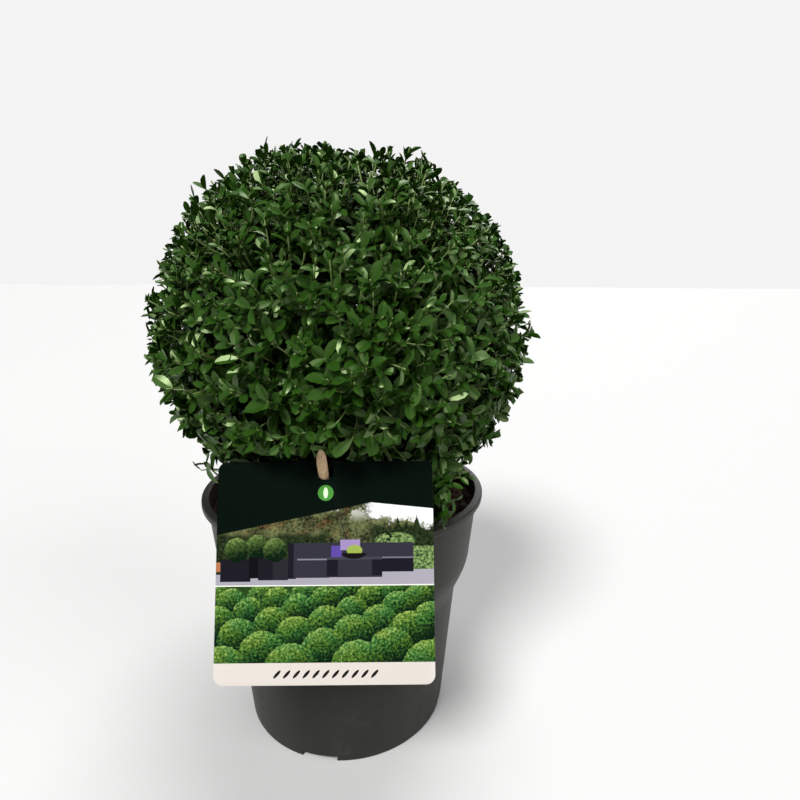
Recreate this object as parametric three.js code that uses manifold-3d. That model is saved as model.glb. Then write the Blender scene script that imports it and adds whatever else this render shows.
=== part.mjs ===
// A clipped ball of box in its nursery pot, with a picture card hung on a wooden peg.
// Millimetres, +Z up. The origin is on the pot's axis, in the plane that its foot ring stands on.
// Azimuths are degrees anticlockwise from +X, seen from above. The card is at the front, towards -Y.
import * as THREE from 'three';
import Module from 'manifold-3d';
import { mergeVertices } from 'three/addons/utils/BufferGeometryUtils.js';

// Pot: a thin moulded shell with a recessed base, a shoulder, a collar and an outward lip.
const POT_HEIGHT = 168;
const RIM_RADIUS = 98;
const LIP_HEIGHT = 4.5;
const LIP_CHAMFER = 1.2;
const COLLAR_TOP_RADIUS = 94.2;
const COLLAR_FOOT_RADIUS = 90;
const COLLAR_FOOT_Z = 122;
const BODY_TOP_RADIUS = 80.5;
const BODY_TOP_Z = 93;
const BASE_RADIUS = 72.5;
const BASE_ROUND = 1.5;
const WALL = 1.4;
const FOOT_HEIGHT = 5;
const FOOT_RING_WIDTH = 4;
const NOTCH_COUNT = 4;
const NOTCH_WIDTH = 24;
const NOTCH_HEIGHT = 4.2;
const NOTCH_TURN = -100;
const DRAIN_COUNT = 8;
const DRAIN_RADIUS = 5;
const DRAIN_RING_RADIUS = 50;
const DRAIN_SIDES = 8;
const POT_SIDES = 40;
const SHOULDER_STEPS = 4;

// Root ball: peat that fills the pot, flat under the stems and lower and uneven towards the wall.
const SOIL_Z = 158;
const SOIL_EDGE_Z = 157;
const SOIL_FLAT_RADIUS = 36;
const SOIL_UNEVEN = 1.6;

// Crown: one clipped mass, a slightly squared and flattened ball, cut level over the bare foot.
const CROWN_RADIUS = 120.5;
const CROWN_HALF_HEIGHT = 115.9;
const CROWN_CENTRE_Z = 276;
const CROWN_SQUARENESS = 2.1;
const CROWN_FOOT_Z = 197;
const CROWN_UNEVEN = 0.016;
const CROWN_DETAIL = 9;
// Where the shears left the crown full or hollow: azimuth, elevation, rise and width of the lump.
const CROWN_LUMPS = [
  { azimuth: -33, elevation: 63, rise: 5, spread: 9 },
  { azimuth: -80, elevation: 72, rise: -5, spread: 15 },
  { azimuth: -128, elevation: 66, rise: 2, spread: 12 },
  { azimuth: -15, elevation: 50, rise: -2, spread: 9 },
  { azimuth: -174, elevation: 36, rise: 4, spread: 13 },
  { azimuth: -6, elevation: 33, rise: 3, spread: 13 },
  { azimuth: 60, elevation: 58, rise: -3, spread: 18 },
  { azimuth: 118, elevation: 20, rise: 3, spread: 16 },
];

// Skirt: unclipped lower shoots, one mass each, that hang between the crown's foot and the rim.
const SKIRTS = [
  { name: 'front_right', azimuth: -38, radius: 62, z: 189, radial: 40, across: 34, upright: 34 },
  { name: 'right', azimuth: 12, radius: 66, z: 196, radial: 39, across: 34, upright: 27 },
  { name: 'back_right', azimuth: 62, radius: 65, z: 194, radial: 38, across: 35, upright: 27 },
  { name: 'back', azimuth: 112, radius: 66, z: 196, radial: 38, across: 34, upright: 28 },
  { name: 'back_left', azimuth: 162, radius: 65, z: 194, radial: 39, across: 35, upright: 27 },
  { name: 'left', azimuth: 212, radius: 66, z: 193, radial: 37, across: 35, upright: 27 },
  { name: 'front', azimuth: 262, radius: 62, z: 190, radial: 32, across: 34, upright: 28 },
];
const SKIRT_DETAIL = 3;
const SKIRT_UNEVEN = 0.09;

// Limbs: a leader with its upper boughs, three lesser stems, and one side bough into each skirt.
const LEADER_RADIUS = 8;
const LEADER_TIP_RADIUS = 5.5;
const LEADER_LEAN = 5;
const STEM_RADIUS = 4.6;
const STEM_TIP_RADIUS = 3.4;
const STEM_RING_RADIUS = 24;
const STEM_LEAN = 6;
const STEM_AZIMUTHS = { stem_right: 37, stem_left: 187, stem_front: -68 };
const ROOT_FLARE = 3;
const BOUGH_RADIUS = 3.2;
const BOUGH_TIP_RADIUS = 2.2;
const UPPER_BOUGH_AZIMUTHS = { bough_front_left: -140, bough_right: -20, bough_back: 85 };
const UPPER_BOUGH_REACH = 20;
const UPPER_BOUGH_FORK_Z = 174;
const SIDE_BOUGH_FORK_Z = 166;
const LIMB_SIDES = 8;
const LIMB_STEPS = 4;

// Card: a thin printed square with round corners and a hole, leaning on the rim of the pot.
const CARD_WIDTH = 118;
const CARD_HEIGHT = 118;
const CARD_THICKNESS = 0.6;
const CARD_CORNER = 5;
const CARD_TOP_Z = 212.3;
const CARD_TILT = 18.2;
const CARD_TURN = -0.8;
const CARD_SHIFT = -1.6;
const HOLE_RADIUS = 4.7;
const HOLE_DROP = 5.4;
const CARD_CURVE_STEPS = 6;

// Peg: a round stick in the peat that leans out through the card's hole and ends in a long cut.
const PEG_RADIUS = 2.85;
const PEG_LEAN = 33;
const PEG_CUT_LENGTH = 15.5;
const PEG_SHIFT = -1.2;
const PEG_LENGTH = 90;
const PEG_SIDES = 14;

// Neighbouring pieces keep this distance, and cut tools reach this far past what they cut.
const GAP = 0.4;
const BEYOND = 400;

const wasm = await Module();
wasm.setup();

function radians(degrees) {
  return THREE.MathUtils.degToRad(degrees);
}

// A point at an azimuth and distance from the pot's axis.
function around(azimuth, radius, z) {
  const angle = radians(azimuth);
  return new THREE.Vector3(radius * Math.cos(angle), radius * Math.sin(angle), z);
}

// A closed geometry as a solid that can be cut: equal points are welded and flat faces dropped.
function toSolid(geometry) {
  const bare = geometry.clone();
  bare.deleteAttribute('normal');
  bare.deleteAttribute('uv');
  const welded = mergeVertices(bare);
  const corners = welded.index.array;
  const faces = [];
  for (let i = 0; i < corners.length; i += 3) {
    const face = [corners[i], corners[i + 1], corners[i + 2]];
    if (new Set(face).size === 3) faces.push(...face);
  }
  const mesh = new wasm.Mesh({
    numProp: 3,
    vertProperties: Float32Array.from(welded.attributes.position.array),
    triVerts: Uint32Array.from(faces),
  });
  return new wasm.Manifold(mesh);
}

function toGeometry(solid) {
  const mesh = solid.getMesh();
  const geometry = new THREE.BufferGeometry();
  geometry.setAttribute('position', new THREE.BufferAttribute(mesh.vertProperties, 3));
  geometry.setIndex(new THREE.BufferAttribute(mesh.triVerts, 1));
  geometry.computeVertexNormals();
  return geometry;
}

// The largest piece of a solid that cutting may have left with loose crumbs.
function largestPiece(solid) {
  return solid.decompose().reduce((best, piece) => (piece.volume() > best.volume() ? piece : best));
}

// A box between two heights, wide enough to cut off everything there.
function slabBetween(low, high) {
  const box = new THREE.BoxGeometry(BEYOND, BEYOND, high - low);
  box.translate(0, 0, (low + high) / 2);
  return toSolid(box);
}

// A ring between two radii and two heights, for keeping foliage clear of the rim.
function ringAround(inner, outer, low, high) {
  const corners = [[inner, low], [outer, low], [outer, high], [inner, high], [inner, low]];
  const profile = corners.map(([radius, z]) => new THREE.Vector2(radius, z));
  return toSolid(new THREE.LatheGeometry(profile, POT_SIDES).rotateX(Math.PI / 2));
}

// A smooth unevenness between -1 and 1 over directions or places, different for each seed.
function waves(point, seed, pitch) {
  let sum = 0;
  for (let i = 1; i <= 4; i += 1) {
    const turn = seed * 1.7 + i * 2.4;
    const along = point.x * Math.sin(turn) + point.y * Math.cos(turn * 1.3) + point.z * Math.sin(turn * 0.7);
    sum += Math.sin(along * pitch * (1 + 0.35 * i) + turn * 3.1) / 4;
  }
  return sum;
}

// --- Pot ---

// The shoulder's curve, from the body up to the collar or, for the inside, back down.
function addShoulder(profile, inset, upward) {
  const low = [BODY_TOP_RADIUS - inset, BODY_TOP_Z];
  const high = [COLLAR_FOOT_RADIUS - inset, COLLAR_FOOT_Z];
  const third = (COLLAR_FOOT_Z - BODY_TOP_Z) / 3;
  const nearLow = [low[0] + 1, low[1] + third];
  const nearHigh = [high[0] - 1, high[1] - third];
  if (upward) profile.bezierCurveTo(...nearLow, ...nearHigh, ...high);
  else profile.bezierCurveTo(...nearHigh, ...nearLow, ...low);
}

function potShell() {
  const profile = new THREE.Path();
  const lipZ = POT_HEIGHT - LIP_HEIGHT;
  const ringInner = BASE_RADIUS - FOOT_RING_WIDTH;
  profile.moveTo(0, FOOT_HEIGHT);
  profile.lineTo(ringInner, FOOT_HEIGHT);
  profile.lineTo(ringInner, 0);
  profile.lineTo(BASE_RADIUS - BASE_ROUND, 0);
  profile.lineTo(BASE_RADIUS, BASE_ROUND);
  profile.lineTo(BODY_TOP_RADIUS, BODY_TOP_Z);
  addShoulder(profile, 0, true);
  profile.lineTo(COLLAR_TOP_RADIUS, lipZ);
  profile.lineTo(RIM_RADIUS, lipZ);
  profile.lineTo(RIM_RADIUS, POT_HEIGHT - LIP_CHAMFER);
  profile.lineTo(RIM_RADIUS - LIP_CHAMFER, POT_HEIGHT);
  profile.lineTo(COLLAR_TOP_RADIUS - WALL, POT_HEIGHT);
  profile.lineTo(COLLAR_FOOT_RADIUS - WALL, COLLAR_FOOT_Z);
  addShoulder(profile, WALL, false);
  profile.lineTo(BASE_RADIUS - WALL, FOOT_HEIGHT + WALL);
  profile.lineTo(0, FOOT_HEIGHT + WALL);
  const lathe = new THREE.LatheGeometry(profile.getPoints(SHOULDER_STEPS), POT_SIDES);
  return toSolid(lathe.rotateX(Math.PI / 2));
}

function drainNotch(index) {
  const reach = FOOT_RING_WIDTH * 6;
  const box = new THREE.BoxGeometry(reach, NOTCH_WIDTH, NOTCH_HEIGHT * 2);
  box.translate(BASE_RADIUS, 0, 0);
  box.rotateZ(radians(NOTCH_TURN + (index * 360) / NOTCH_COUNT));
  return toSolid(box);
}

function drainHole(index) {
  const hole = new THREE.CylinderGeometry(DRAIN_RADIUS, DRAIN_RADIUS, FOOT_HEIGHT * 4, DRAIN_SIDES);
  hole.rotateX(Math.PI / 2);
  const place = around((index * 360) / DRAIN_COUNT, DRAIN_RING_RADIUS, 0);
  return toSolid(hole.translate(place.x, place.y, place.z));
}

function makePot() {
  let pot = potShell();
  for (let i = 0; i < NOTCH_COUNT; i += 1) pot = pot.subtract(drainNotch(i));
  for (let i = 0; i < DRAIN_COUNT; i += 1) pot = pot.subtract(drainHole(i));
  return pot;
}

// --- Root ball ---

function makeRootBall() {
  const inset = WALL + GAP;
  const edgeShare = (SOIL_EDGE_Z - COLLAR_FOOT_Z) / (POT_HEIGHT - COLLAR_FOOT_Z);
  const edgeRadius = THREE.MathUtils.lerp(COLLAR_FOOT_RADIUS, COLLAR_TOP_RADIUS, edgeShare) - inset;
  const profile = new THREE.Path();
  profile.moveTo(0, FOOT_HEIGHT + inset);
  profile.lineTo(BASE_RADIUS - inset, FOOT_HEIGHT + inset);
  profile.lineTo(BODY_TOP_RADIUS - inset, BODY_TOP_Z);
  addShoulder(profile, inset, true);
  profile.lineTo(edgeRadius, SOIL_EDGE_Z);
  profile.lineTo(edgeRadius * 0.8, SOIL_EDGE_Z + 1);
  profile.lineTo((edgeRadius + SOIL_FLAT_RADIUS) / 2, (SOIL_EDGE_Z + SOIL_Z) / 2);
  profile.lineTo(SOIL_FLAT_RADIUS, SOIL_Z);
  profile.lineTo(0, SOIL_Z);
  const ball = new THREE.LatheGeometry(profile.getPoints(SHOULDER_STEPS), POT_SIDES);
  ball.rotateX(Math.PI / 2);
  const points = ball.attributes.position;
  const point = new THREE.Vector3();
  for (let i = 0; i < points.count; i += 1) {
    point.fromBufferAttribute(points, i);
    const radius = Math.hypot(point.x, point.y);
    const onTop = point.z > COLLAR_FOOT_Z + 1 && radius > SOIL_FLAT_RADIUS + 1;
    const wave = waves(point, 5, 0.045);
    if (onTop) points.setZ(i, point.z + SOIL_UNEVEN * (wave - 0.4));
  }
  return toSolid(ball);
}

// --- Limbs ---

// One tapering limb: a cylinder's rings moved along a curve, with a flare at its foot if wanted.
function makeLimb({ path, foot, tip, flare = 0 }, grow = 0) {
  const curve = new THREE.CatmullRomCurve3(path);
  const frames = curve.computeFrenetFrames(LIMB_STEPS, false);
  const tube = new THREE.CylinderGeometry(1, 1, 1, LIMB_SIDES, LIMB_STEPS);
  const points = tube.attributes.position;
  const point = new THREE.Vector3();
  for (let i = 0; i < points.count; i += 1) {
    point.fromBufferAttribute(points, i);
    const share = point.y + 0.5;
    const step = Math.round(share * LIMB_STEPS);
    const radius = THREE.MathUtils.lerp(foot, tip, share) + flare * Math.exp(-share * 8) + grow;
    const centre = curve.getPointAt(share);
    centre.addScaledVector(frames.normals[step], point.z * radius);
    centre.addScaledVector(frames.binormals[step], point.x * radius);
    points.setXYZ(i, centre.x, centre.y, centre.z);
  }
  return toSolid(tube);
}

function risingLimb(azimuth, ring, lean, foot, tip) {
  const low = around(azimuth, ring, SOIL_Z - 2);
  const middle = around(azimuth + 5, ring + lean * 0.3, (SOIL_Z + CROWN_FOOT_Z) / 2);
  const high = around(azimuth, ring + lean, CROWN_FOOT_Z + 4);
  return { path: [low, middle, high], foot, tip, flare: ROOT_FLARE };
}

function upperBough(azimuth) {
  const low = around(azimuth, 1, UPPER_BOUGH_FORK_Z);
  const middle = around(azimuth, UPPER_BOUGH_REACH * 0.5, UPPER_BOUGH_FORK_Z + 9);
  const high = around(azimuth + 6, UPPER_BOUGH_REACH, CROWN_FOOT_Z + 4);
  return { path: [low, middle, high], foot: BOUGH_RADIUS, tip: BOUGH_TIP_RADIUS };
}

// A side bough leaves the leader low down and runs out to the middle of its skirt.
function sideBough(skirt, index) {
  const forkZ = SIDE_BOUGH_FORK_Z + (index % 3) * 3;
  const low = around(skirt.azimuth, 1, forkZ);
  const middle = around(skirt.azimuth + 4, 22, forkZ + 5);
  const high = around(skirt.azimuth, skirt.radius * 0.85, skirt.z);
  return { path: [low, middle, high], foot: BOUGH_RADIUS, tip: BOUGH_TIP_RADIUS };
}

// --- Masses of leaves ---

// The distance from the crown's centre to its clipped surface in one direction.
function crownReach(direction) {
  const flat = Math.hypot(direction.x, direction.y) / CROWN_RADIUS;
  const upright = Math.abs(direction.z) / CROWN_HALF_HEIGHT;
  const power = CROWN_SQUARENESS;
  let reach = (flat ** power + upright ** power) ** (-1 / power);
  reach *= 1 + CROWN_UNEVEN * waves(direction, 2, 5.5);
  for (const lump of CROWN_LUMPS) {
    const level = Math.cos(radians(lump.elevation));
    const towards = around(lump.azimuth, level, Math.sin(radians(lump.elevation)));
    const away = THREE.MathUtils.radToDeg(direction.angleTo(towards)) / lump.spread;
    reach += lump.rise * Math.exp(-away * away);
  }
  return reach;
}

// A ball's points moved out to the given distance in each direction.
function shapeBall(detail, reachOf) {
  const ball = new THREE.IcosahedronGeometry(1, detail);
  const points = ball.attributes.position;
  const direction = new THREE.Vector3();
  for (let i = 0; i < points.count; i += 1) {
    direction.fromBufferAttribute(points, i).normalize();
    direction.multiplyScalar(reachOf(direction.clone()));
    points.setXYZ(i, direction.x, direction.y, direction.z);
  }
  return ball;
}

// The crown's box is centred on the pot's axis from side to side, and as deep behind as in front.
function makeCrown(frontReach, grow = 0) {
  const ball = shapeBall(CROWN_DETAIL, (direction) => crownReach(direction) + grow);
  ball.computeBoundingBox();
  const { min, max } = ball.boundingBox;
  ball.translate(-(min.x + max.x) / 2, frontReach + grow - max.y, CROWN_CENTRE_Z);
  return toSolid(ball).subtract(slabBetween(-BEYOND, CROWN_FOOT_Z - grow));
}

function makeSkirt(skirt, index, grow = 0) {
  const size = [skirt.radial + grow, skirt.across + grow, skirt.upright + grow];
  const ball = shapeBall(SKIRT_DETAIL, (direction) => 1 + SKIRT_UNEVEN * waves(direction, index + 11, 4));
  ball.scale(...size);
  ball.rotateZ(radians(skirt.azimuth));
  const place = around(skirt.azimuth, skirt.radius, skirt.z);
  return toSolid(ball.translate(place.x, place.y, place.z));
}

// --- Card and peg ---

function cardOutline() {
  const half = CARD_WIDTH / 2;
  const inner = half - CARD_CORNER;
  const foot = -CARD_HEIGHT;
  const shape = new THREE.Shape();
  shape.absarc(inner, -CARD_CORNER, CARD_CORNER, 0, Math.PI / 2);
  shape.absarc(-inner, -CARD_CORNER, CARD_CORNER, Math.PI / 2, Math.PI);
  shape.absarc(-inner, foot + CARD_CORNER, CARD_CORNER, Math.PI, Math.PI * 1.5);
  shape.absarc(inner, foot + CARD_CORNER, CARD_CORNER, Math.PI * 1.5, Math.PI * 2);
  const hole = new THREE.Path();
  hole.absarc(0, -HOLE_DROP, HOLE_RADIUS, 0, Math.PI * 2);
  shape.holes.push(hole);
  return shape;
}

// The card lies in its own frame with its top edge's middle at the origin and its back at y = 0.
function makeCard() {
  const depth = CARD_THICKNESS;
  const options = { depth, bevelEnabled: false, curveSegments: CARD_CURVE_STEPS };
  return new THREE.ExtrudeGeometry(cardOutline(), options).rotateX(Math.PI / 2);
}

// The card's frame leans back so far that its back just clears the outer edge of the lip.
function placeCardFrame() {
  const tilt = radians(CARD_TILT);
  const edge = RIM_RADIUS * Math.cos(tilt) + (POT_HEIGHT - LIP_CHAMFER) * Math.sin(tilt);
  const forward = (edge + GAP - CARD_TOP_Z * Math.sin(tilt)) / Math.cos(tilt);
  const frame = new THREE.Group();
  frame.position.set(CARD_SHIFT, -forward, CARD_TOP_Z);
  frame.rotation.x = -tilt;
  frame.updateMatrixWorld();
  return frame;
}

// The room that the card needs in front of the foliage, down to the rim and out past the leaves.
function cardRoom(frame) {
  const side = 3;
  const behind = 1.5;
  const room = new THREE.BoxGeometry(CARD_WIDTH + side * 2, BEYOND / 4, CARD_HEIGHT + side * 2);
  room.translate(0, behind - BEYOND / 8, side - (CARD_HEIGHT + side * 2) / 2);
  return toSolid(room.applyMatrix4(frame.matrixWorld));
}

// The peg runs along its own Z from behind and below, through the left part of the card's hole.
function makePeg(frame, grow = 0) {
  const radius = PEG_RADIUS + grow;
  const stick = new THREE.CylinderGeometry(radius, radius, PEG_LENGTH, PEG_SIDES);
  stick.rotateX(Math.PI / 2);
  stick.translate(0, 0, grow + PEG_CUT_LENGTH - PEG_LENGTH / 2);
  stick.rotateX(radians(PEG_LEAN));
  const hole = new THREE.Vector3(PEG_SHIFT, 0, -HOLE_DROP).applyMatrix4(frame.matrixWorld);
  return toSolid(stick.translate(hole.x, hole.y, hole.z));
}

// The long cut at the peg's end faces the front: it starts on the near side and rises to the tip.
function pegCut(frame) {
  const box = new THREE.BoxGeometry(BEYOND / 4, BEYOND / 4, BEYOND / 4);
  box.translate(0, -BEYOND / 8, 0);
  box.rotateX(-Math.atan2(PEG_RADIUS * 2, PEG_CUT_LENGTH));
  box.translate(0, 0, PEG_CUT_LENGTH / 2);
  box.rotateX(radians(PEG_LEAN));
  const hole = new THREE.Vector3(PEG_SHIFT, 0, -HOLE_DROP).applyMatrix4(frame.matrixWorld);
  return toSolid(box.translate(hole.x, hole.y, hole.z));
}

// --- Assembly ---

const plant = new THREE.Group();

function addPart(name, geometry, colour, roughness, parent = plant) {
  const material = new THREE.MeshStandardMaterial({ color: colour, roughness, metalness: 0 });
  const mesh = new THREE.Mesh(geometry, material);
  mesh.name = name;
  parent.add(mesh);
  return mesh;
}

const POT_LOOK = ['#35342f', 0.55];
const PEAT_LOOK = ['#2c1d15', 0.95];
const BARK_LOOK = ['#7d6a51', 0.85];
const LEAF_LOOK = ['#27511d', 0.5];
const CARD_LOOK = ['#16261a', 0.35];
const PEG_LOOK = ['#c9a67c', 0.7];

addPart('pot', toGeometry(makePot()), ...POT_LOOK);
addPart('root_ball', toGeometry(makeRootBall()), ...PEAT_LOOK);

const cardFrame = placeCardFrame();
plant.add(cardFrame);
const card = addPart('picture_card', makeCard(), ...CARD_LOOK, cardFrame);
card.rotation.y = radians(CARD_TURN);
const cardReach = -new THREE.Box3().setFromObject(card, true).min.y;

const underSoil = slabBetween(-BEYOND, SOIL_Z + GAP);
const peg = makePeg(cardFrame).subtract(pegCut(cardFrame)).subtract(underSoil);
addPart('card_peg', toGeometry(peg), ...PEG_LOOK);

const keepClear = cardRoom(cardFrame).add(makePeg(cardFrame, GAP));
addPart('crown', toGeometry(makeCrown(cardReach).subtract(keepClear)), ...LEAF_LOOK);

const rim = ringAround(COLLAR_TOP_RADIUS - WALL * 2, BEYOND / 2, 0, POT_HEIGHT + GAP);
let skirtsTaken = keepClear.add(makeCrown(cardReach, GAP)).add(underSoil).add(rim);
SKIRTS.forEach((skirt, index) => {
  const mass = largestPiece(makeSkirt(skirt, index).subtract(skirtsTaken));
  addPart(`skirt_${skirt.name}`, toGeometry(mass), ...LEAF_LOOK);
  skirtsTaken = skirtsTaken.add(makeSkirt(skirt, index, GAP));
});

// Limbs are cut level at the peat and at the crown's foot, and where they meet earlier ones.
let limbsTaken = skirtsTaken;
function addLimb(name, limb) {
  const piece = largestPiece(makeLimb(limb).subtract(limbsTaken));
  addPart(name, toGeometry(piece), ...BARK_LOOK);
  limbsTaken = limbsTaken.add(makeLimb(limb, GAP));
}

addLimb('leader_stem', risingLimb(70, 0, LEADER_LEAN, LEADER_RADIUS, LEADER_TIP_RADIUS));
for (const [name, azimuth] of Object.entries(STEM_AZIMUTHS)) {
  addLimb(name, risingLimb(azimuth, STEM_RING_RADIUS, STEM_LEAN, STEM_RADIUS, STEM_TIP_RADIUS));
}
for (const [name, azimuth] of Object.entries(UPPER_BOUGH_AZIMUTHS)) addLimb(name, upperBough(azimuth));
SKIRTS.forEach((skirt, index) => addLimb(`side_bough_${skirt.name}`, sideBough(skirt, index)));

export default plant;
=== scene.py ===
import math

import bpy
import numpy as np
from mathutils import Matrix, Vector
from mathutils.bvhtree import BVHTree


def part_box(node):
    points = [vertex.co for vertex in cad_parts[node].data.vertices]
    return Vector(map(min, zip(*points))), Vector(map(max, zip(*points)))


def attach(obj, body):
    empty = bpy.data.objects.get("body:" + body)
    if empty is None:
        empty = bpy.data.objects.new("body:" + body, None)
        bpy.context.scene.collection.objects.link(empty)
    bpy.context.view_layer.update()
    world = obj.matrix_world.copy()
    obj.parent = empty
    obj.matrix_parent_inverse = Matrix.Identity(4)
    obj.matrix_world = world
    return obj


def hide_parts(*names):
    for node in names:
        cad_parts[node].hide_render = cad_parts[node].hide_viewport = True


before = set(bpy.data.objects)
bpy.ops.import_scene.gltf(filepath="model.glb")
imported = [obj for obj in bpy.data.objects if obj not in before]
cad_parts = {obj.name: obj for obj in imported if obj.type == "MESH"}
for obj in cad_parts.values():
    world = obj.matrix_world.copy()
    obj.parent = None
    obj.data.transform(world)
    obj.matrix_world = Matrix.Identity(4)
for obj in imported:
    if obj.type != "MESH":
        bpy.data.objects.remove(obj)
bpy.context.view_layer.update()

# --- Pot ---
# A thin nursery pot, injection moulded from dark recycled polypropylene. Its lip is rolled for
# stiffness, the collar stacks in the next pot, and the recessed base stands on a notched ring.
POT_SIDES = 128
pot_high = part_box("pot")[1]
POT_HEIGHT = pot_high.z
RIM_RADIUS = pot_high.x
WALL = 0.0014
LIP_DEPTH = 0.0045
LIP_ROUND = 0.0013
COLLAR_TOP_RADIUS = RIM_RADIUS - 0.0038
COLLAR_FOOT = (RIM_RADIUS - 0.008, 0.122)
BODY_TOP = (0.0805, 0.093)
BASE_RADIUS = 0.0725
BASE_ROUND = 0.0015
FOOT_HEIGHT = 0.005
FOOT_RING_WIDTH = 0.004
NOTCH_WIDTH = 0.024
NOTCH_HEIGHT = 0.0042
NOTCH_TURN = math.radians(-100)
DRAIN_RADIUS = 0.005
DRAIN_RING_RADIUS = 0.05
CENTRE_RADIUS = 0.002
NOTCH_COUNT = 4
NOTCH_REACH = 0.02
DRAIN_COUNT = 8
SOFT_EDGE = 0.0008
RING_EDGE = 0.0006


def deselect_all():
    if bpy.context.object and bpy.context.object.mode != "OBJECT":
        bpy.ops.object.mode_set(mode="OBJECT")
    bpy.ops.object.select_all(action="DESELECT")


def apply_place():
    """Moves the active piece's place, turn and scale into its mesh."""
    bpy.ops.object.transform_apply(location=True, rotation=True, scale=True)


def turned_piece(name, rings, sides):
    """A closed piece turned round the pot's axis: a circle drawn through (radius, height) rings."""
    deselect_all()
    start = (0, 0, rings[0][1])
    bpy.ops.mesh.primitive_circle_add(vertices=sides, radius=rings[0][0], location=start)
    apply_place()
    bpy.ops.object.mode_set(mode="EDIT")
    for (radius, height), (next_radius, next_height) in zip(rings, rings[1:]):
        rise = {"value": (0, 0, next_height - height)}
        bpy.ops.mesh.extrude_edges_move(TRANSFORM_OT_translate=rise)
        grow = next_radius / radius
        bpy.ops.transform.resize(value=(grow, grow, 1), center_override=(0, 0, next_height))
    bpy.ops.mesh.select_all(action="SELECT")
    bpy.ops.mesh.fill_holes(sides=0)
    bpy.ops.mesh.normals_make_consistent(inside=False)
    bpy.ops.object.mode_set(mode="OBJECT")
    piece = bpy.context.object
    piece.name = name
    return piece


def arc(centre, radius, start, stop, steps):
    """Points on an arc in the (radius, height) plane, with angles in degrees."""
    angles = np.radians(np.linspace(start, stop, steps + 1))
    return [(centre[0] + radius * math.cos(a), centre[1] + radius * math.sin(a)) for a in angles]


def cubic(ends, steps):
    """Points along a cubic curve, or along many at once, from its four guiding points."""
    shares = np.linspace(0, 1, steps)[:, None]
    weights = [(1 - shares) ** 3, 3 * shares * (1 - shares) ** 2, 3 * shares**2 * (1 - shares), shares**3]
    return sum(weight * np.asarray(end)[..., None, :] for weight, end in zip(weights, ends))


def shoulder(inset, steps=10):
    """The curve from the body up to the collar, drawn in from the wall by the inset."""
    low = np.array(BODY_TOP) - (inset, 0)
    high = np.array(COLLAR_FOOT) - (inset, 0)
    third = (high[1] - low[1]) / 3
    bend = [low, low + (0.001, third), high - (0.001, third), high]
    return [tuple(point) for point in cubic(bend, steps + 1)]


def wall_rings(start, stop, steps):
    """Rings spaced evenly along a straight stretch of wall, both ends left out."""
    shares = np.linspace(0, 1, steps + 2)[1:-1]
    return [tuple(np.array(start) * (1 - s) + np.array(stop) * s) for s in shares]


def pot_rings():
    """The pot's section, from the middle of its recessed base, up the outside and down the inside."""
    lip_foot = POT_HEIGHT - LIP_DEPTH
    ring_inner = BASE_RADIUS - FOOT_RING_WIDTH
    lip_outer = (RIM_RADIUS - LIP_ROUND, POT_HEIGHT - LIP_ROUND)
    base_corner = (BASE_RADIUS - BASE_ROUND, BASE_ROUND)
    rings = [(CENTRE_RADIUS, FOOT_HEIGHT), (ring_inner - 0.004, FOOT_HEIGHT), (ring_inner, FOOT_HEIGHT)]
    rings += [(ring_inner, RING_EDGE), (ring_inner + RING_EDGE, 0)]
    rings += arc(base_corner, BASE_ROUND, -90, 0, 5)
    rings += wall_rings((BASE_RADIUS, BASE_ROUND), BODY_TOP, 8)
    rings += shoulder(0)
    rings += wall_rings(COLLAR_FOOT, (COLLAR_TOP_RADIUS, lip_foot), 4)
    rings += [(COLLAR_TOP_RADIUS, lip_foot - SOFT_EDGE), (COLLAR_TOP_RADIUS + SOFT_EDGE, lip_foot)]
    rings += arc((RIM_RADIUS - SOFT_EDGE, lip_foot + SOFT_EDGE), SOFT_EDGE, -90, 0, 3)
    rings += arc(lip_outer, LIP_ROUND, 0, 90, 5)
    rings += arc((COLLAR_TOP_RADIUS - WALL + SOFT_EDGE, POT_HEIGHT - SOFT_EDGE), SOFT_EDGE, 90, 180, 4)
    rings += list(reversed(shoulder(WALL)))
    rings += [(BASE_RADIUS - WALL + 0.0003, FOOT_HEIGHT + WALL + 0.003)]
    rings += [(BASE_RADIUS - WALL - 0.003, FOOT_HEIGHT + WALL), (CENTRE_RADIUS, FOOT_HEIGHT + WALL)]
    return rings


def cut_away(piece, cutters):
    """Cuts the joined cutters out of a piece and removes them."""
    deselect_all()
    for cutter in cutters:
        cutter.select_set(True)
    bpy.context.view_layer.objects.active = cutters[0]
    bpy.ops.object.join()
    cutter = bpy.context.object
    deselect_all()
    piece.select_set(True)
    bpy.context.view_layer.objects.active = piece
    cut = piece.modifiers.new("cut", "BOOLEAN")
    cut.operation = "DIFFERENCE"
    cut.object = cutter
    bpy.ops.object.modifier_apply(modifier=cut.name)
    bpy.data.objects.remove(cutter)


def drain_cutters():
    """Notches through the foot ring and a ring of drain holes through the base."""
    cutters = []
    for notch in range(NOTCH_COUNT):
        turn = NOTCH_TURN + notch * 2 * math.pi / NOTCH_COUNT
        place = (BASE_RADIUS * math.cos(turn), BASE_RADIUS * math.sin(turn), 0)
        deselect_all()
        bpy.ops.mesh.primitive_cube_add(size=1, location=place, rotation=(0, 0, turn))
        bpy.context.object.scale = (NOTCH_REACH, NOTCH_WIDTH, NOTCH_HEIGHT * 2)
        apply_place()
        cutters.append(bpy.context.object)
    for hole in range(DRAIN_COUNT):
        turn = hole * 2 * math.pi / DRAIN_COUNT
        place = (DRAIN_RING_RADIUS * math.cos(turn), DRAIN_RING_RADIUS * math.sin(turn), FOOT_HEIGHT)
        deselect_all()
        bpy.ops.mesh.primitive_cylinder_add(vertices=32, radius=DRAIN_RADIUS, depth=0.01, location=place)
        apply_place()
        cutters.append(bpy.context.object)
    return cutters


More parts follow.
